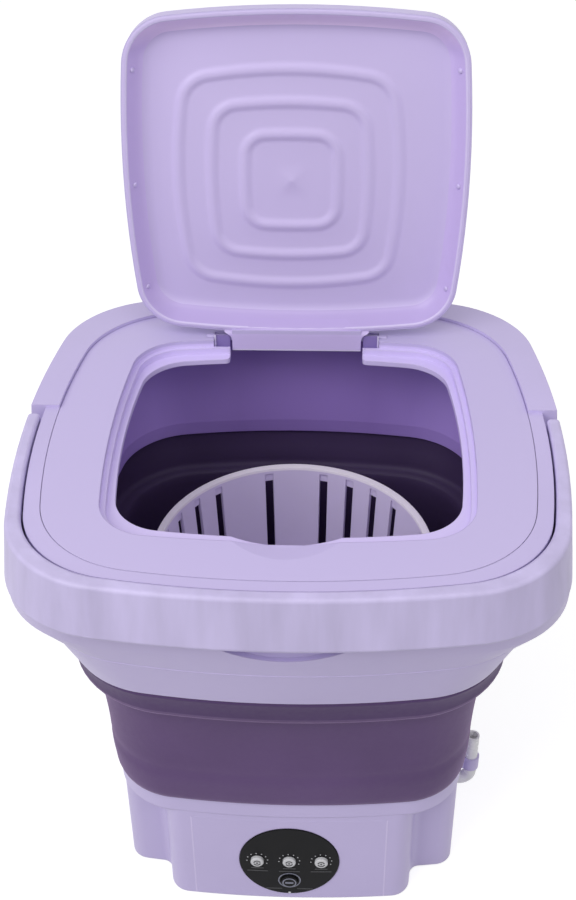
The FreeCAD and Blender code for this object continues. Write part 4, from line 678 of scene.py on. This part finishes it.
# Stage, light and camera
def lamp(name, place, target, size, power):
    """Square soft light, in metres and watts."""
    light = bpy.data.lights.new(name, "AREA")
    light.shape = "SQUARE"
    light.size = size
    light.energy = power
    holder = bpy.data.objects.new(name, light)
    holder.location = place
    holder.rotation_euler = (Vector(target) - Vector(place)).to_track_quat("-Z", "Y").to_euler()
    scene.collection.objects.link(holder)


def seen(tree):
    """Output that is 1 for rays that show the background: camera, glossy and transmission rays."""
    path = tree.nodes.new("ShaderNodeLightPath")
    total = path.outputs["Is Camera Ray"]
    for name in ("Is Glossy Ray", "Is Transmission Ray"):
        either = tree.nodes.new("ShaderNodeMath")
        either.operation = "MAXIMUM"
        tree.links.new(total, either.inputs[0])
        tree.links.new(path.outputs[name], either.inputs[1])
        total = either.outputs[0]
    return total


def floor():
    """Pale floor that shows as white with a faint shadow."""
    grey, glow = (0.45, 0.45, 0.46, 1.0), 0.74
    bpy.ops.mesh.primitive_plane_add(size=12.0, location=(0, 0, 0))
    plane = bpy.context.object
    plane.name = "floor"
    made = Nodes("pale_floor")
    made.shader.inputs["Base Color"].default_value = grey
    made.shader.inputs["Roughness"].default_value = 0.9
    made.shader.inputs["Specular IOR Level"].default_value = 0.1
    white = made.add("ShaderNodeEmission", Strength=glow)
    both = made.add("ShaderNodeAddShader")
    mix = made.add("ShaderNodeMixShader")
    made.link(made.shader.outputs[0], both.inputs[0])
    made.link(white.outputs[0], both.inputs[1])
    made.link(seen(made.tree), mix.inputs[0])
    made.link(made.shader.outputs[0], mix.inputs[1])
    made.link(both.outputs[0], mix.inputs[2])
    made.link(mix.outputs[0], made.tree.nodes["Material Output"].inputs["Surface"])
    plane.data.materials.append(made.material)


def studio():
    """World that lights softly and shows as white."""
    soft, white = 0.54, 1.0
    world = bpy.data.worlds.new("studio")
    world.use_nodes = True
    tree = world.node_tree
    light = tree.nodes["Background"]
    light.inputs["Color"].default_value = WHITE
    light.inputs["Strength"].default_value = soft
    shown = tree.nodes.new("ShaderNodeBackground")
    shown.inputs["Strength"].default_value = white
    shown.inputs["Color"].default_value = WHITE
    mix = tree.nodes.new("ShaderNodeMixShader")
    tree.links.new(seen(tree), mix.inputs[0])
    tree.links.new(light.outputs[0], mix.inputs[1])
    tree.links.new(shown.outputs[0], mix.inputs[2])
    tree.links.new(mix.outputs[0], tree.nodes["World Output"].inputs["Surface"])
    scene.world = world


def camera():
    """Camera fitted to the photograph, with its angles in radians."""
    eye = Vector((0.022847, -0.627944, 0.729609))
    yaw, pitch, roll = 0.040, 0.620, -0.011
    ahead = Vector((-math.sin(yaw) * math.cos(pitch), math.cos(yaw) * math.cos(pitch), -math.sin(pitch)))
    right = Vector((math.cos(yaw), math.sin(yaw), 0))
    up = right.cross(ahead)
    across = right * math.cos(roll) + up * math.sin(roll)
    upward = up * math.cos(roll) - right * math.sin(roll)
    lens = bpy.data.cameras.new("camera")
    lens.sensor_width = 36.0
    lens.lens = 52.0
    lens.clip_start = 0.01
    holder = bpy.data.objects.new("camera", lens)
    place = Matrix((across, upward, -ahead)).transposed().to_4x4()
    place.translation = eye
    holder.matrix_world = place
    scene.collection.objects.link(holder)
    scene.camera = holder


floor()
studio()
camera()
TUB, LID = (0, 0, 0.2), (0, 0.1, 0.38)
lamp("key", (-1.2, -1.1, 1.6), TUB, size=1.4, power=20)
lamp("fill", (1.3, -1.0, 1.2), TUB, size=1.2, power=3)
lamp("near_top", (0.1, -0.6, 1.2), LID, size=0.5, power=1.7)
scene.view_settings.view_transform = "Standard"
